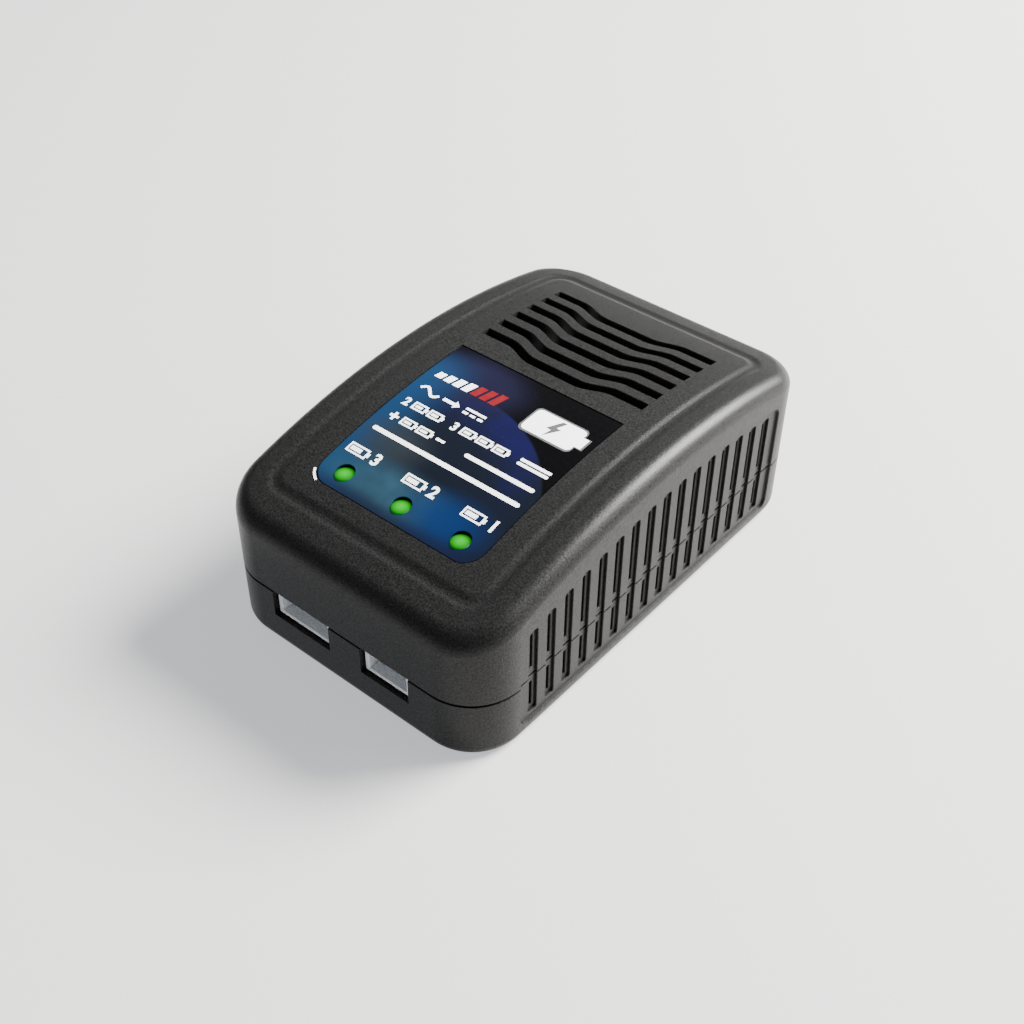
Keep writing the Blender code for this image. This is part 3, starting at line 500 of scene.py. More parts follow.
def label_film():
    """Printed film: azure at the left and front, an indigo sweep, near black beyond it."""
    paint = Paint("label_film", 0.26, specular=0.12)
    x, y = paint.split(paint.place)

    def fade(distance, start, end):
        return paint.spread(distance, 0.0, 1.0, start * MM, end * MM, "SMOOTHSTEP")

    def spot(centre_x, centre_y, stretch, start, end):
        return fade(paint.radius(x, y, centre_x * MM, centre_y * MM, stretch), start, end)

    cloud = paint.spread(paint.noise(150, 2.0), 0.0, 1.0, 0.36, 0.64, "SMOOTHSTEP")
    sweep = paint.radius(x, y, -5 * MM, -32 * MM)
    glow = paint.times(paint.times(fade(sweep, 17, 25), paint.spread(cloud, 0.45, 1.0)), fade(x, 17.5, 9))
    inside = paint.blend(glow, (0.0034, 0.0048, 0.0085), (0.0040, 0.0040, 0.0260))
    colour = paint.blend(fade(sweep, 27.2, 26.6), (0.0010, 0.0010, 0.0012), inside)
    band = paint.times(spot(-4, -29.4, 0.34, 6.6, 0.6), 0.95)
    layers = [
        (paint.times(spot(-9, -2.5, 0.62, 9, 3), 0.9), (0.0060, 0.0058, 0.0160)),
        (paint.times(fade(x, -6, -17), fade(y, 3.6, -4.5)), (0.0046, 0.0190, 0.0500)),
        (paint.times(spot(-10, -21.5, 0.7, 7, 1), 0.75), (0.0130, 0.0170, 0.0200)),
        (paint.times(band, paint.spread(cloud, 0.7, 1.0)), (0.0140, 0.0400, 0.0620)),
        (paint.times(spot(8, -29, 0.6, 7, 1), 0.8), (0.0020, 0.0125, 0.0560)),
        (paint.times(fade(y, -31.2, -33.8), 0.55), (0.0040, 0.0060, 0.0190)),
    ]
    for amount, tone in layers:
        colour = paint.blend(amount, colour, tone)
    paint.set("Base Color", colour)
    relief = paint.noise(1500, 2.0)
    paint.set("Roughness", paint.spread(relief, 0.18, 0.28, 0.3, 0.7))
    paint.set("Normal", paint.bump(relief, 0.00001, 0.25))
    return paint.material


def lens_green():
    """Lit green lens, brightest in the middle of the dome."""
    paint = Paint("green_lens", 0.30, specular=0.12)
    x, y = paint.split(paint.tree.nodes.new("ShaderNodeTexCoord").outputs["Generated"])
    glow = paint.ramp(paint.radius(x, y, 0.5, 0.5), [
        (0.00, (0.004, 0.950, 0.012)), (0.16, (0.003, 0.760, 0.008)),
        (0.32, (0.001, 0.400, 0.003)), (0.45, (0.000, 0.110, 0.001)),
    ])
    mottle = paint.noise(2500)
    paint.set("Base Color", paint.ramp(mottle, [(0.3, (0.001, 0.024, 0.002)), (0.7, (0.002, 0.036, 0.003))]))
    paint.set("Emission Color", glow)
    paint.shader.inputs["Emission Strength"].default_value = 1.0
    return paint.material


def brushed(name, colour, roughness):
    """Metal with fine drawn lines."""
    paint = Paint(name, roughness, 1.0)
    stretch = paint.tree.nodes.new("ShaderNodeMapping")
    stretch.inputs["Scale"].default_value = (1.0, 1.0, 0.08)
    paint.link(paint.place, stretch.inputs["Vector"])
    lines = paint.noise(6000, 2.0, stretch.outputs["Vector"])
    low = tuple(value * 0.8 for value in colour)
    paint.set("Base Color", paint.ramp(lines, [(0.3, low), (0.7, colour)]))
    paint.set("Roughness", paint.spread(lines, roughness * 0.7, roughness * 1.4, 0.3, 0.7))
    paint.set("Normal", paint.bump(lines, 0.00001, 0.3))
    return paint.material


def board_laminate():
    """Green solder mask over tracks, with bare laminate showing faintly."""
    paint = Paint("board_laminate", 0.32)
    tracks = paint.tree.nodes.new("ShaderNodeTexVoronoi")
    tracks.feature = "DISTANCE_TO_EDGE"
    tracks.distance = "MANHATTAN"
    tracks.inputs["Scale"].default_value = 320
    paint.link(paint.place, tracks.inputs["Vector"])
    copper = paint.spread(tracks.outputs["Distance"], 1.0, 0.0, 0.05, 0.09)
    paint.set("Base Color", paint.blend(copper, (0.012, 0.085, 0.028), (0.030, 0.190, 0.060)))
    paint.set("Roughness", paint.spread(paint.noise(2500), 0.26, 0.40, 0.3, 0.7))
    paint.set("Normal", paint.bump(copper, 0.00003, 0.5))
    return paint.material


MOULDED = {
    "white_nylon": ((0.700, 0.730, 0.760), 0.45, 3600, 0.16, 0.00004),
    "inlet_plastic": ((0.020, 0.020, 0.021), 0.36, 3800),
    "ferrite": ((0.050, 0.050, 0.053), 0.62, 5000, 0.30, 0.00004),
    "coil_tape": ((0.720, 0.500, 0.060), 0.38, 1200, 0.10),
    "black_epoxy": ((0.018, 0.018, 0.020), 0.50, 6000, 0.30, 0.00003),
    "capacitor_sleeve": ((0.022, 0.028, 0.060), 0.30, 900, 0.12),
    "film_box": ((0.740, 0.560, 0.060), 0.40, 2500, 0.08),
    "fuse_case": ((0.180, 0.080, 0.035), 0.45, 3500, 0.18),
    "thermistor_coat": ((0.030, 0.090, 0.050), 0.50, 2200, 0.22, 0.00005),
    "disc_coat": ((0.045, 0.150, 0.400), 0.45, 2200, 0.16, 0.00005),
    "ink_white": ((0.880, 0.890, 0.900), 0.35, 3000, 0.03, 0.000008),
    "ink_red": ((0.115, 0.0015, 0.0040), 0.35, 3000, 0.06, 0.000008),
    "ink_grey": ((0.060, 0.060, 0.062), 0.35, 3000, 0.06, 0.000008),
}
BRUSHED = {
    "zinc_steel": ((0.620, 0.620, 0.640), 0.32),
    "tinned_contact": ((0.760, 0.750, 0.720), 0.28),
    "bare_aluminium": ((0.740, 0.740, 0.750), 0.34),
}
PAINTS = {name: moulded(name, *look) for name, look in MOULDED.items()}
PAINTS.update({name: brushed(name, *look) for name, look in BRUSHED.items()})
PAINTS["case_plastic"] = case_plastic()
PAINTS["label_film"] = label_film()
PAINTS["green_lens"] = lens_green()
PAINTS["board_laminate"] = board_laminate()


# ---- Case shells ----

def crown(y, drop=0.0):
    """Height of the arched top at y, lowered by drop."""
    return CROWN_HEIGHT - CROWN_RADIUS + math.sqrt(CROWN_RADIUS ** 2 - (y - CROWN_Y) ** 2) - drop


def level(height):
    """Height rule of a flat ring."""
    return lambda y: height


def under_crown(drop):
    """Height rule of a ring that follows the arched top."""
    return lambda y: crown(y, drop)


def outline_half(inset, panel):
    """Right-hand half of the plan outline moved in by inset, from front to back."""
    radius = CORNER_RADIUS - inset
    half_width = CASE_WIDTH / 2 - inset
    front = -CASE_LENGTH / 2 + inset + PANEL_FRONT_SHIFT * panel
    back = CASE_LENGTH / 2 - inset - PANEL_BACK_SHIFT * panel
    points = arc_points(half_width - radius, front + radius, radius, -90, 0, CORNER_STEPS)
    straight = back - front - 2 * radius
    points += [(half_width, front + radius + straight * k / SIDE_STEPS) for k in range(1, SIDE_STEPS)]
    points += arc_points(half_width - radius, back - radius, radius, 0, 90, CORNER_STEPS)
    return points


def lofted_shell(name, rings, material):
    """Closed shell through concentric rings, from its inner face over the rim to its outer face."""
    bm = bmesh.new()
    rows = []
    for inset, panel, height in rings:
        half = outline_half(inset, panel)
        right = [bm.verts.new((x, y, height(y))) for x, y in half]
        left = [bm.verts.new((-x, y, height(y))) for x, y in half]
        rows.append((right, left))
    for (right_a, left_a), (right_b, left_b) in zip(rows, rows[1:]):
        join_loops(bm, right_a + left_a[::-1], right_b + left_b[::-1])
    for right, left in (rows[0], rows[-1]):
        for k in range(len(right) - 1):
            bm.faces.new((right[k], right[k + 1], left[k + 1], left[k]))
    return add_object(name, bm, material)


def eased_rings(start_inset, end_inset, start_drop, end_drop, steps=7):
    """Rings of a smooth S-shaped slope between two heights of the top."""
    rings = []
    for k in range(1, steps + 1):
        part = k / steps
        inset = start_inset + (end_inset - start_inset) * part
        drop = start_drop + (end_drop - start_drop) * smooth(part)
        rings.append((inset, 1, under_crown(drop)))
    return rings


def rim_rings(start, height, away):
    """Rings of a cover's rim, from an inset out to a softened outer edge; away is +1 or -1 in height."""
    softening = EDGE_SOFTENING * 0.6
    return [
        (start, 0, level(height)),
        (softening, 0, level(height)),
        (softening * 0.3, 0, level(height + away * softening * 0.3)),
        (0, 0, level(height + away * softening)),
    ]


def upper_rings():
    """Rings of the top cover: ceiling, rebate, rim, wall, rounding, groove and panel edge."""
    groove_width = GROOVE_INNER_INSET - GROOVE_OUTER_INSET
    shelf = PARTING_HEIGHT + TONGUE_HEIGHT + CLEARANCE
    rings = [
        (WALL + 0.0022, 0, under_crown(CEILING_DROP)),
        (WALL + 0.0006, 0, under_crown(CEILING_DROP + 0.0006)),
        (WALL, 0, under_crown(CEILING_DROP + 0.0022)),
        (WALL, 0, level(shelf)),
        (REBATE_INSET, 0, level(shelf)),
    ] + rim_rings(REBATE_INSET, PARTING_HEIGHT + PARTING_GAP / 2, 1)
    for k in range(ROUNDING_STEPS + 1):
        angle = math.pi / 2 * k / ROUNDING_STEPS
        drop = SHOULDER_DROP + TOP_ROUNDING * (1 - math.sin(angle))
        rings.append((TOP_ROUNDING * (1 - math.cos(angle)), 0, under_crown(drop)))
    valley_start = GROOVE_OUTER_INSET + groove_width * 0.42
    valley_end = GROOVE_OUTER_INSET + groove_width * 0.48
    rings.append((GROOVE_OUTER_INSET - 0.0002, 1, under_crown(SHOULDER_DROP)))
    rings += eased_rings(GROOVE_OUTER_INSET, valley_start, SHOULDER_DROP, GROOVE_DROP)
    rings += eased_rings(valley_end, GROOVE_INNER_INSET, GROOVE_DROP, 0.0, 9)
    rings.append((GROOVE_INNER_INSET + 0.0003, 1, under_crown(0.0)))
    return rings


def lower_rings():
    """Rings of the bottom cover: floor, tongue, rim, wall and rounded base edge."""
    tongue_top = PARTING_HEIGHT + TONGUE_HEIGHT
    rings = [
        (WALL + 0.0012, 0, level(WALL)),
        (WALL + 0.0004, 0, level(WALL + 0.0004)),
        (WALL, 0, level(WALL + 0.0012)),
        (WALL, 0, level(tongue_top)),
        (TONGUE_INSET, 0, level(tongue_top)),
    ] + rim_rings(TONGUE_INSET, PARTING_HEIGHT - PARTING_GAP / 2, -1)
    for k in range(ROUNDING_STEPS + 1):
        angle = math.pi / 2 * k / ROUNDING_STEPS
        inset = BASE_ROUNDING * (1 - math.cos(angle))
        rings.append((inset, 0, level(BASE_ROUNDING * (1 - math.sin(angle)))))
    return rings


def both_sides(bm, outlines):
    """The same cutter on both side walls; outlines are (points, distance from the middle)."""
    add_stack(bm, outlines, "X")
    add_stack(bm, [(points, -along) for points, along in outlines], "X")


def flare(outline_rule, deep, surface, softening=SLOT_SOFTENING):
    """Cutter outlines that widen a little where they meet the surface."""
    return [
        (outline_rule(0), deep),
        (outline_rule(0), surface - softening),
        (outline_rule(softening), surface),
        (outline_rule(softening), FAR),
    ]


def recess_outline(grow):
    """Outline of the shallow side panel, its top edge following the arch."""
    corner, end = RECESS_CORNER + grow, RECESS_HALF_LENGTH - RECESS_CORNER
    foot, drop = RECESS_BOTTOM + RECESS_CORNER, RECESS_DROP - grow
    outline = arc_points(end, foot, corner, -90, 0)
    outline += arc_points(end, crown(end, drop + corner), corner, 0, 90)
    for k in range(1, SIDE_STEPS):
        y = end * (1 - 2 * k / SIDE_STEPS)
        outline.append((y, crown(y, drop)))
    outline += arc_points(-end, crown(-end, drop + corner), corner, 90, 180)
    return outline + arc_points(-end, foot, corner, 180, 270)


def recess_cutter():
    """Side panels with softened rims."""
    wall = CASE_WIDTH / 2
    bm = bmesh.new()
    floor = (recess_outline(-EDGE_SOFTENING / 2), wall - RECESS_DEPTH)
    sides = flare(recess_outline, wall - RECESS_DEPTH + EDGE_SOFTENING / 2, wall, EDGE_SOFTENING)
    both_sides(bm, [floor] + sides)
    return bm


def side_slot_cutter(outline_rule, side, surface, depth):
    """Openings along both side walls, each flared a little where it meets its surface."""
    bm = bmesh.new()
    for index in range(SIDE_SLOTS):
        y = SIDE_SLOT_FIRST_Y + SIDE_SLOT_PITCH * index
        both_sides(bm, flare(lambda grow, y=y: outline_rule(y, grow, side), surface - depth, surface))
    return bm


def slot_outline(y, half, corner, square, tip, side, steps):
    """Outline of an opening at y, square at one height and with rounded corners at the other."""
    reach = side * (tip - square) - corner
    outline = [(-half, 0), (half, 0)]
    outline += arc_points(half - corner, reach, corner, 0, 90, steps)
    outline += arc_points(corner - half, reach, corner, 90, 180, steps)
    return [(y + side * a, square + side * b) for a, b in dict.fromkeys(outline)]


def side_slot_end(y, side):
    """Height of a side slot's end: its top where side is 1, its bottom where side is -1."""
    return crown(y, SIDE_SLOT_DROP) if side > 0 else SIDE_SLOT_BOTTOM


def groove(y, grow, side):
    """Outline of a side slot's groove above or below the parting line, open past that line."""
    half, corner = SIDE_SLOT_WIDTH / 2 + grow, SIDE_SLOT_CORNER + grow
    square, tip = PARTING_HEIGHT - side * WALL, side_slot_end(y, side) + side * grow
    return slot_outline(y, half, corner, square, tip, side, CORNER_ARC_STEPS)


def slit(y, grow, side):
    """Outline of the round-ended slit in the floor of a groove."""
    half = SLIT_WIDTH / 2 + grow
    square = PARTING_HEIGHT + side * (SLIT_BRIDGE - grow)
    tip = side_slot_end(y, side) - side * (SLIT_END_MARGIN - grow)
    return slot_outline(y, half, half, square, tip, side, CORNER_ARC_STEPS // 2)


def wave(fraction):
    """Sideways step of a top slot: 0 at its ends, 1 in the middle, eased between."""
    distance = abs(fraction - WAVE_MIDDLE)
    return smooth(min(max((WAVE_REACH - distance) / WAVE_SLOPE, 0.0), 1.0))


def top_slot_cutter():
    """Wavy slots across the rear of the top panel, flared a little at the surface."""
    bm = bmesh.new()
    for index in range(TOP_SLOTS):
        centre = TOP_SLOT_FIRST_Y + TOP_SLOT_PITCH * index
        line = []
        for k in range(WAVE_STEPS + 1):
            fraction = k / WAVE_STEPS
            line.append((TOP_SLOT_HALF_LENGTH * (2 * fraction - 1), centre - TOP_SLOT_WAVE * wave(fraction)))

        def outline(grow, line=line):
            half = TOP_SLOT_WIDTH / 2 + grow
            return [(x, y - half) for x, y in line] + [(x, y + half) for x, y in reversed(line)]
        add_stack(bm, [
            (outline(0), TOP_SLOT_FLOOR),
            (outline(0), under_crown(SLOT_SOFTENING)),
            (outline(SLOT_SOFTENING), under_crown(0)),
            (outline(SLOT_SOFTENING), FAR),
        ], "Z")
    return bm


def label_rows(margin):
    """Right-hand edge of the label, from front to back, grown outwards by margin."""
    radius = LABEL_CORNER + margin
    half_width = LABEL_HALF_WIDTH + margin
    front = LABEL_FRONT - margin
    rear = LABEL_REAR + margin
    rows = arc_points(half_width - radius, front + radius, radius, -90, 0, CORNER_STEPS)
    straight = rear - front - radius
    rows += [(half_width, front + radius + straight * k / SIDE_STEPS) for k in range(1, SIDE_STEPS + 1)]
    return rows


def arched_plate(bm, rows, low, high):
    """Plate that follows the arch between two height rules; rows is its right-hand edge."""
    corners = []
    for x, y in rows:
        corners.append([bm.verts.new(point) for point in (
            (x, y, low(y)), (-x, y, low(y)), (-x, y, high(y)), (x, y, high(y)))])
    bm.faces.new(corners[0])
    bm.faces.new(corners[-1][::-1])
    for near, far in zip(corners, corners[1:]):
        for k in range(4):
            following = (k + 1) % 4
            bm.faces.new((near[k], far[k], far[following], near[following]))


def led_places():
    """Centre line of each light, from left to right."""
    return [(LED_PITCH * k, LED_Y) for k in (-1, 0, 1)]


def led_hole_cutter():
    """Round holes for the three lights."""
    radius = LED_RADIUS + CLEARANCE
    bm = bmesh.new()
    for place in led_places():
        add_pin(bm, radius, LED_HOLE_FLOOR, FAR, place)
    return bm


def pocket_cutter():
    """Pocket that takes the face label."""
    bm = bmesh.new()
    floor = LABEL_DROP + LABEL_THICKNESS + CLEARANCE
    arched_plate(bm, label_rows(CLEARANCE * 0.7), under_crown(floor), level(FAR))
    return bm


def nose_outline(margin):
    """Round-ended outline of the inlet's nose, grown by margin."""
    length = NOSE_HALF_LENGTH + margin
    radius = NOSE_RADIUS + margin
    return rounded_rectangle(-length, length, INLET_LEVEL - radius, INLET_LEVEL + radius, radius * 0.98)


def inlet_cutter():
    """Opening for the inlet's nose in the rear wall, with a softened rim."""
    wall = CASE_LENGTH / 2
    bm = bmesh.new()
    opening = flare(lambda grow: nose_outline(CLEARANCE + grow), wall - 2 * WALL, wall, EDGE_SOFTENING)
    add_stack(bm, opening, "Y")
    return bm


def boss_places():
    """Axes of the four case screws."""
    return [(x, y) for x in (-BOSS_X, BOSS_X) for y in (-BOSS_Y, BOSS_Y)]


def upper_bosses():
    """Bosses that hang from the top cover."""
    bm = bmesh.new()
    for place in boss_places():
        top = crown(math.copysign(abs(place[1]) + UPPER_BOSS_RADIUS, place[1]), CEILING_DROP - 0.0006)
        add_pin(bm, UPPER_BOSS_RADIUS, BOARD_BOTTOM, top, place)
    return bm


def upper_pilots():
    """Pilot holes in the upper bosses."""
    bm = bmesh.new()
    for place in boss_places():
        add_pin(bm, SCREW_RADIUS + CLEARANCE, 0, SCREW_TIP + 0.001, place)
    return bm


def lower_bosses():
    """Screw bosses and board posts that stand on the base."""
    bm = bmesh.new()
    posts = [(x, y) for x in (-POST_X, POST_X) for y in (POST_Y, -POST_Y)]
    for radius, places in ((LOWER_BOSS_RADIUS, boss_places()), (POST_RADIUS, posts)):
        for place in places:
            add_pin(bm, radius, WALL / 2, BOARD_BOTTOM - CLEARANCE, place)
    return bm


def lower_holes():
    """Recessed screw holes, softened at the base, and pilots for the board screws."""
    bm = bmesh.new()
    seat = SCREW_SINK + SCREW_HEAD_HEIGHT + CLEARANCE
    through = SCREW_RADIUS + CLEARANCE
    wide = SCREW_HEAD_RADIUS + CLEARANCE
    profile = [(0, -WALL), (wide + EDGE_SOFTENING, -WALL), (wide + EDGE_SOFTENING, 0)]
    profile += [(wide, EDGE_SOFTENING), (wide, seat), (through, seat), (through, BOARD_TOP), (0, BOARD_TOP)]
    for place in boss_places():
        add_turned(bm, profile, place)
    for x in (-POST_X, POST_X):
        add_pin(bm, BOARD_SCREW_RADIUS + CLEARANCE, WALL + 0.0006, BOARD_TOP, (x, POST_Y))
    return bm


def port_width(contacts):
    """Outer width of a socket with that many contacts."""
    return CONTACT_PITCH * (contacts - 1) + PORT_MARGIN


def notch_cutter():
    """Notches in the front wall for the two balance ports."""
    bm = bmesh.new()
    for contacts, centre in PORTS.values():
        half = port_width(contacts) / 2 + PORT_NOTCH_GAP
        add_box(bm, (centre - half, -FAR, PORT_NOTCH_BOTTOM), (centre + half, PORT_MOUTH + WALL, FAR))
    return bm


def build_cover(node, side, rings, bosses, cutters):
    """One cover: shell with bosses, then its side panels, stepped side slots and other openings."""
    cover = lofted_shell(f"{node}_shell", rings, PAINTS["case_plastic"])
    combine(cover, bosses, "UNION")
    face = CASE_WIDTH / 2 - RECESS_DEPTH
    slots = [
        side_slot_cutter(groove, side, face, SIDE_SLOT_DEPTH),
        side_slot_cutter(slit, side, face - SIDE_SLOT_DEPTH, WALL),
    ]
    for cutter in [recess_cutter(), *slots, *cutters]:
        combine(cover, cutter)
    finish_piece(cover, "case_plastic", node)


def build_covers():
    """Arched top cover and base tray."""
    top_cutters = [top_slot_cutter(), pocket_cutter(), led_hole_cutter(), inlet_cutter(), upper_pilots()]
    build_cover("top_cover", 1, upper_rings(), upper_bosses(), top_cutters)
    base_cutters = [lower_holes(), notch_cutter(), inlet_cutter()]
    build_cover("bottom_cover", -1, lower_rings(), lower_bosses(), base_cutters)


# ---- Label ----

def build_label():
    """Printed film with three holes for the lights."""
    bm = bmesh.new()
    arched_plate(bm, label_rows(0), under_crown(LABEL_DROP + LABEL_THICKNESS), under_crown(LABEL_DROP))
    film = add_object("face_label_film", bm, PAINTS["label_film"])
    combine(film, led_hole_cutter())
    finish_piece(film, "label_film", "face_label")


def shape_bar(left, right, y, thickness):
    """Round-ended bar."""
    half = thickness / 2
    outline = arc_points(left + half, y, half, 90, 270)
    return outline + arc_points(right - half, y, half, -90, 90)


def shape_block(left, right, low, high, radius):
    """Rounded rectangle."""
    return rounded_rectangle(left, right, low, high, radius, 5)


def shape_stroke(line, thickness):
    """Ribbon of even thickness along a line of points."""
    left, right = [], []
    for k, (x, y) in enumerate(line):
        before = line[max(k - 1, 0)]
        after = line[min(k + 1, len(line) - 1)]
        along = Vector((after[0] - before[0], after[1] - before[1])).normalized() * thickness / 2
        left.append((x - along.y, y + along.x))
        right.append((x + along.y, y - along.x))
    return left + right[::-1]


def shape_sine(left, right, y, height, thickness):
    """One full wave, the sign for alternating current."""
    parts = [k / SINE_STEPS for k in range(SINE_STEPS + 1)]
    line = [(left + (right - left) * t, y + height / 2 * math.sin(2 * math.pi * t)) for t in parts]
    return shape_stroke(line, thickness)


def shape_arrow(left, right, y, height):
    """Broad arrow pointing right."""
    neck = right - height * 0.62
    third = height * 0.19
    return [(left, y - third), (neck, y - third), (neck, y - height / 2), (right, y),
            (neck, y + height / 2), (neck, y + third), (left, y + third)]


def shape_bolt(x, y, height):
    """Lightning bolt about a centre."""
    unit = height / 10
    points = [(0.6, 5), (-2.6, -0.8), (-0.5, -0.8), (-1.4, -5), (2.6, 1.0), (0.5, 1.0), (2.4, 5)]
    return [(x + a * unit, y + b * unit) for a, b in points]


def shape_digit(digit, x, y, height):
    """Outlines of a plain numeral from the built-in font, centred at x, standing on y."""
    curve = bpy.data.curves.new("digit", "FONT")
    curve.body = digit
    curve.size = height * FONT_SIZE
    curve.align_x = "CENTER"
    curve.offset = height * FONT_BOLDNESS
    holder = bpy.data.objects.new("digit", curve)
    bpy.context.scene.collection.objects.link(holder)
    graph = bpy.context.evaluated_depsgraph_get()
    mesh = bpy.data.meshes.new_from_object(holder.evaluated_get(graph))
    points = [(x + vertex.co.x, y + vertex.co.y) for vertex in mesh.vertices]
    faces = [[points[k] for k in face.vertices] for face in mesh.polygons]
    bpy.data.objects.remove(holder)
    return faces


def print_ink(name, outlines, ink, lift=0.0):
    """Thin ink film of flat outlines, given in millimetres, laid on the arched label."""
    bm = bmesh.new()
    for outline in outlines:
        bm.faces.new([bm.verts.new((x * MM, y * MM, 0)) for x, y in outline])
    bmesh.ops.remove_doubles(bm, verts=bm.verts, dist=0.000002)
    bmesh.ops.triangulate(bm, faces=bm.faces)
    y = LABEL_FRONT
    while y < LABEL_REAR:
        geometry = bm.verts[:] + bm.edges[:] + bm.faces[:]
        bmesh.ops.bisect_plane(bm, geom=geometry, dist=0.0000001, plane_co=(0, y, 0), plane_no=(0, 1, 0))
        y += INK_STRIP
    bmesh.ops.recalc_face_normals(bm, faces=bm.faces)
    if sum(face.normal.z for face in bm.faces) < 0:
        bmesh.ops.reverse_faces(bm, faces=bm.faces)
    top = bmesh.ops.extrude_face_region(bm, geom=bm.faces[:])
    raised = {v for v in top["geom"] if isinstance(v, bmesh.types.BMVert)}
    for vert in bm.verts:
        height = INK_THICKNESS + lift if vert in raised else lift * 0.5
        vert.co.z = crown(vert.co.y, LABEL_DROP) + height + INK_GAP
    piece = add_object(name, bm, PAINTS[ink])
    finish_piece(piece, "label_film")


def shape_cell(left, y, width, height):
    """Small battery cell in one outline: rounded body with its terminal at the right."""
    tip, right = left + width, left + width - height * 0.22
    low, high = y + height * 0.27, y + height * 0.73
    steps = 4
    body = rounded_rectangle(left, right, y, y + height, height * 0.16, steps)
    return body[:steps + 1] + [(right, low), (tip, low), (tip, high), (right, high)] + body[steps + 1:]


def cell_picture(left, y, width, height):
    """Hollow battery cell: frame, end with terminal, and charge block, a hair apart."""
    line, gap, nub = 0.34, 0.02, height * 0.2
    right, top = left + width - nub, y + height
    inner = right - line - gap
    frame_part = [(inner, top), (left, top), (left, y), (inner, y), (inner, y + line),
                  (left + line, y + line), (left + line, top - line), (inner, top - line)]
    low, high = y + height * 0.28, y + height * 0.72
    end_part = [(right - line, y), (right, y), (right, low), (left + width, low),
                (left + width, high), (right, high), (right, top), (right - line, top)]
    margin = line * 1.75
    charge = shape_block(left + margin, left + width * 0.62, y + margin, top - margin, 0.05)
    return [frame_part, end_part, charge]


def shape_plus(x, y, size, thickness):
    """Plus sign in one outline."""
    arm, half = size / 2, thickness / 2
    quarter = [(arm, half), (half, half), (half, arm), (-half, arm), (-half, half), (-arm, half)]
    return [(x + a, y + b) for a, b in quarter] + [(x - a, y - b) for a, b in quarter]


def shape_gauge_bar(left, width, low, height):
    """One slanted bar of the charge gauge."""
    slant, top = height * 0.25, low + height
    return [(left, low), (left + width, low), (left + width + slant, top), (left + slant, top)]


def gauge_row():
    """Charge gauge: seven rising bars, the last three apart in red."""
    bars = [shape_gauge_bar(-15.6 + 1.98 * k, 1.45, -5.5, 1.5 + 0.28 * k) for k in range(7)]
    return bars[:4], bars[4:]


def current_row():
    """Alternating current, arrow, direct current."""
    middle = -9.1
    row = [
        shape_sine(-15.4, -11.2, middle, 1.5, 0.55),
        shape_arrow(-10.2, -6.6, middle, 1.8),
        shape_block(-5.5, -1.2, middle + 0.25, middle + 0.75, 0.1),
    ]
    for k in range(3):
        left = -5.5 + 1.6 * k
        row.append(shape_block(left, left + 1.1, middle - 0.75, middle - 0.25, 0.1))
    return row


def pack_row():
    """Two cells and three cells, each after its number, then a pair of level bars."""
    low, height = -13.95, 1.75
    row = shape_digit("2", -14.8, low, height)
    for k in range(2):
        row += cell_picture(-13.4 + 3.5 * k, low, 3.2, height)
    row += shape_digit("3", -4.1, low, height)
    for k in range(3):
        row += cell_picture(-2.7 + 3.5 * k, low, 3.2, height)
    row += [shape_block(9.6, 15.8, low + lift, low + lift + 0.6, 0.15) for lift in (0.1, 1.05)]
    return row


def polarity_row():
    """Plus, two cells, minus."""
    low, height = -17.75, 1.7
    middle = low + height / 2
    row = [shape_plus(-14.2, middle, 1.8, 0.52)]
    for k in range(2):
        row += cell_picture(-12.5 + 3.6 * k, low, 3.3, height)
    row.append(shape_block(-4.8, -3.0, middle - 0.26, middle + 0.26, 0.1))
    return row


def cell_names():
    """Cell picture and number above each light."""
    low, height = -26.9, 2.0
    row = []
    for digit, (place, _) in zip("321", led_places()):
        x = place / MM
        row += cell_picture(x - 3.5, low, 4.6, height)
        row += shape_digit(digit, x + 2.7, low, height * 1.1)
    return row


def build_print():
    """Plain pictures and numerals in place of the label's wording, and a painted highlight along the label's
    front-left corner.
    """
    gauge_white, gauge_red = gauge_row()
    white = gauge_white + current_row() + pack_row() + polarity_row() + cell_names()
    white.append(shape_bar(-15.5, 15.9, -20.6, 0.85))
    white.append(shape_bar(1.5, 15.9, -17.0, 0.80))
    print_ink("label_print_white", white, "ink_white")
    print_ink("label_print_red", gauge_red, "ink_red")

    body = shape_cell(4.4, -6.9, 11.4, 5.6)
    rim = shape_cell(4.0, -7.3, 12.2, 6.4)
    bolt = shape_bolt(9.4, -4.1, 4.6)
    print_ink("label_mark_rim", [rim], "ink_grey")
    print_ink("label_mark_body", [body], "ink_white", INK_THICKNESS * 1.3)
    print_ink("label_mark_bolt", [bolt], "ink_grey", INK_THICKNESS * 2.6)

    # Painted highlight: a thin white ink stroke just outside the label's front-left corner stands in for
    # light caught on the label's edge there.
    centre_x, centre_y = (LABEL_CORNER - LABEL_HALF_WIDTH) / MM, (LABEL_FRONT + LABEL_CORNER) / MM
    painted_highlight = shape_stroke(arc_points(centre_x, centre_y, LABEL_CORNER / MM + 0.6, 210, 246), 0.4)
    print_ink("label_corner_crescent", [painted_highlight], "ink_white", LABEL_DROP + INK_THICKNESS)


# ---- Lights ----

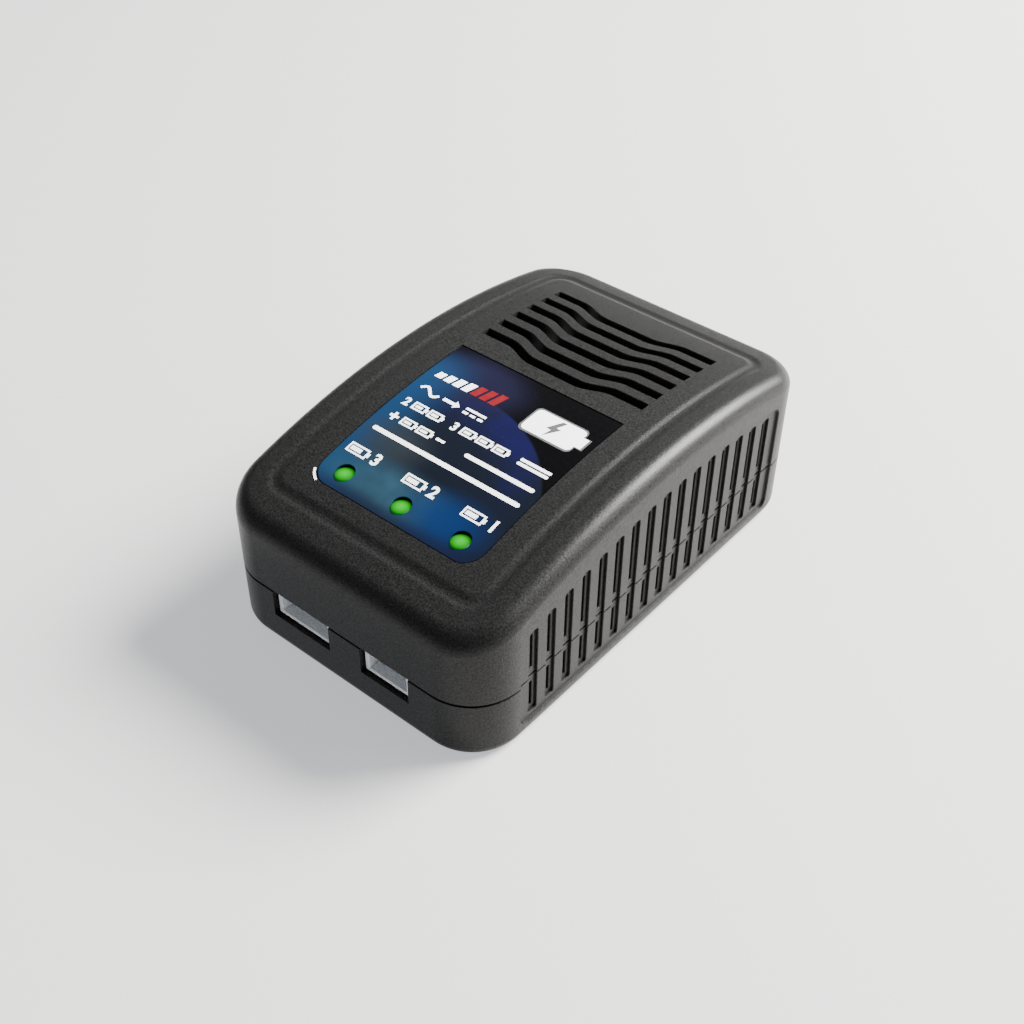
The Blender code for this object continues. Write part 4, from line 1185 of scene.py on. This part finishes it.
def build_lights():
    """Three domed lenses with flanges."""
    base = crown(LED_Y, LED_DROP + LED_LENGTH)
    top = crown(LED_Y, LED_DROP)
    dome = LENS_RADIUS * LENS_BULGE
    flange = LED_RADIUS + LED_FLANGE
    step = base + LED_FLANGE_HEIGHT
    profile = [(0, base), (flange, base), (flange, step), (LENS_RADIUS, step)]
    for k in range(DOME_STEPS):
        turn = math.pi / 2 * k / DOME_STEPS
        profile.append((LENS_RADIUS * math.cos(turn), top - dome * (1 - math.sin(turn))))
    profile.append((0, top))
    for index, place in enumerate(led_places(), start=1):
        bm = bmesh.new()
        add_turned(bm, profile, place)
        finish_piece(add_object(f"led_{index}_lens", bm, PAINTS["green_lens"]), "green_lens", f"led_{index}")


# ---- Sockets, inlet and screws ----

def build_ports():
    """White wafer sockets with softened edges."""
    rear = PORT_MOUTH + PORT_DEPTH
    top = SEAT + PORT_HEIGHT
    key = PORT_KEY_WIDTH / 2
    hole = CONTACT / 2 + CLEARANCE
    for name, (contacts, centre) in PORTS.items():
        half = port_width(contacts) / 2
        inner = half - PORT_SIDE
        bm = bmesh.new()
        add_box(bm, (centre - half, PORT_MOUTH, SEAT), (centre + half, rear, top))
        socket = add_object(f"{name}_socket", bm, PAINTS["white_nylon"])
        cut_boxes(socket, [((centre - inner, -FAR, SEAT + PORT_SHELF),
                            (centre + inner, rear - PORT_REAR, top - PORT_SHELF))])
        cut_boxes(socket, [
            ((x - key, -FAR, top - 2 * PORT_SHELF), (x + key, PORT_MOUTH + PORT_KEY_LENGTH, FAR))
            for x in (centre - inner + PORT_KEY_INSET, centre + inner - PORT_KEY_INSET)])
        cut_boxes(socket, [
            ((x - hole, rear - 2 * PORT_REAR, CONTACT_HEIGHT - hole),
             (x + hole, rear + PORT_REAR, CONTACT_HEIGHT + hole))
            for x in (centre + CONTACT_PITCH * (k - (contacts - 1) / 2) for k in range(contacts))])
        soften(socket, PORT_SOFTENING)
        finish_piece(socket, "white_nylon", name)


def build_inlet():
    """Figure-of-eight mains inlet."""
    bm = bmesh.new()
    add_box(bm, (-INLET_HALF_WIDTH, INLET_FRONT, SEAT), (INLET_HALF_WIDTH, INLET_FLANGE, SEAT + INLET_HEIGHT))
    body = add_object("mains_inlet_body", bm, PAINTS["inlet_plastic"])
    bm = bmesh.new()
    add_stack(bm, [
        (nose_outline(0), INLET_FLANGE - WALL),
        (nose_outline(0), INLET_NOSE - EDGE_SOFTENING),
        (nose_outline(-EDGE_SOFTENING), INLET_NOSE),
    ], "Y")
    combine(body, bm, "UNION")
    lobe = [(0, CAVITY_FLOOR), (CAVITY_RADIUS, CAVITY_FLOOR), (CAVITY_RADIUS, INLET_NOSE - EDGE_SOFTENING)]
    lobe += [(CAVITY_RADIUS + EDGE_SOFTENING, INLET_NOSE), (CAVITY_RADIUS + EDGE_SOFTENING, FAR), (0, FAR)]
    for side in (-1, 1):
        bm = bmesh.new()
        add_turned(bm, lobe, (side * (MAINS_PIN_X - CAVITY_SHIFT), INLET_LEVEL), "Y")
        combine(body, bm)
    cut_boxes(body, [((-MAINS_PIN_X, CAVITY_FLOOR, INLET_LEVEL - CAVITY_WAIST),
                      (MAINS_PIN_X, FAR, INLET_LEVEL + CAVITY_WAIST))])
    bm = bmesh.new()
    radius = MAINS_PIN_RADIUS + CLEARANCE
    for x in (-MAINS_PIN_X, MAINS_PIN_X):
        add_pin(bm, radius, INLET_FRONT - WALL, CAVITY_FLOOR + WALL, (x, INLET_LEVEL), "Y")
    combine(body, bm)
    finish_piece(body, "inlet_plastic", "mains_inlet")


def build_case_screws():
    """Case screws with rounded heads and cross recesses."""
    head_top = SCREW_SINK + SCREW_HEAD_HEIGHT
    profile = [
        (0, SCREW_SINK),
        (SCREW_HEAD_RADIUS * 0.6, SCREW_SINK + SCREW_EDGE * 0.1),
        (SCREW_HEAD_RADIUS - SCREW_EDGE * 0.3, SCREW_SINK + SCREW_EDGE * 0.6),
        (SCREW_HEAD_RADIUS, SCREW_SINK + SCREW_EDGE),
        (SCREW_HEAD_RADIUS, head_top),
        (SCREW_RADIUS, head_top),
    ]
    pitch = (SCREW_TIP - head_top - SCREW_PLAIN) / SCREW_THREADS
    for k in range(SCREW_THREADS):
        start = head_top + SCREW_PLAIN * 0.3 + pitch * k
        profile += [(SCREW_RADIUS * 0.78, start), (SCREW_RADIUS, start + pitch * 0.5)]
    profile += [(SCREW_RADIUS * 0.7, SCREW_TIP - SCREW_PLAIN * 0.4), (0, SCREW_TIP)]
    for index, place in enumerate(boss_places(), start=1):
        bm = bmesh.new()
        add_turned(bm, profile, place)
        screw = add_object(f"case_screw_{index}_head", bm, PAINTS["zinc_steel"])
        x, y = place
        for across, along in ((CROSS_REACH, CROSS_HALF_WIDTH), (CROSS_HALF_WIDTH, CROSS_REACH)):
            corner = (x + across, y + along, SCREW_SINK + CROSS_DEPTH)
            cut_boxes(screw, [((x - across, y - along, 0), corner)])
        finish_piece(screw, "zinc_steel", f"case_screw_{index}")


# ---- Inner parts kept from the CAD ----

def finish_inner_parts():
    """Every shown CAD node takes the material of its slot."""
    slots = {part["node"]: part["material_slot"] for part in frame["record"]["subparts"]}
    for name, node in NODES.items():
        if node.hide_render:
            continue
        node.data.materials.clear()
        node.data.materials.append(PAINTS[slots[name]])


# ---- Studio ----

def build_studio():
    """Pale floor, broad key from behind, and soft fills."""
    paint = Paint("floor_paper", 0.75)
    paint.shader.inputs["Base Color"].default_value = (0.335, 0.325, 0.315, 1.0)
    paint.shader.inputs["Emission Color"].default_value = (0.92, 0.95, 1.0, 1.0)
    paint.shader.inputs["Emission Strength"].default_value = 0.65
    bm = bmesh.new()
    bmesh.ops.create_grid(bm, x_segments=8, y_segments=8, size=3.0)
    floor = add_object("floor", bm, paint.material)
    floor.location.z = -0.0001

    world = bpy.data.worlds.new("studio")
    world.use_nodes = True
    sky = world.node_tree.nodes["Background"]
    sky.inputs["Color"].default_value = (0.96, 0.97, 1.0, 1.0)
    sky.inputs["Strength"].default_value = 0.35
    bpy.context.scene.world = world

    lights = [
        ("key", (0.340, 0.640, 0.610), 0.52, 82.0),
        ("side_fill", (0.720, 0.550, 0.330), 0.40, 5.0),
    ]
    for name, place, size, power in lights:
        data = bpy.data.lights.new(name, "AREA")
        data.shape = "DISK"
        data.size = size
        data.energy = power
        data.color = (1.0, 0.99, 0.97)
        light = bpy.data.objects.new(name, data)
        light.location = place
        light.rotation_mode = "QUATERNION"
        light.rotation_quaternion = (Vector((0, 0, 0.015)) - Vector(place)).to_track_quat("-Z", "Y")
        bpy.context.scene.collection.objects.link(light)


aim_camera()
build_covers()
build_label()
build_print()
build_lights()
build_ports()
build_inlet()
build_case_screws()
finish_inner_parts()
build_studio()
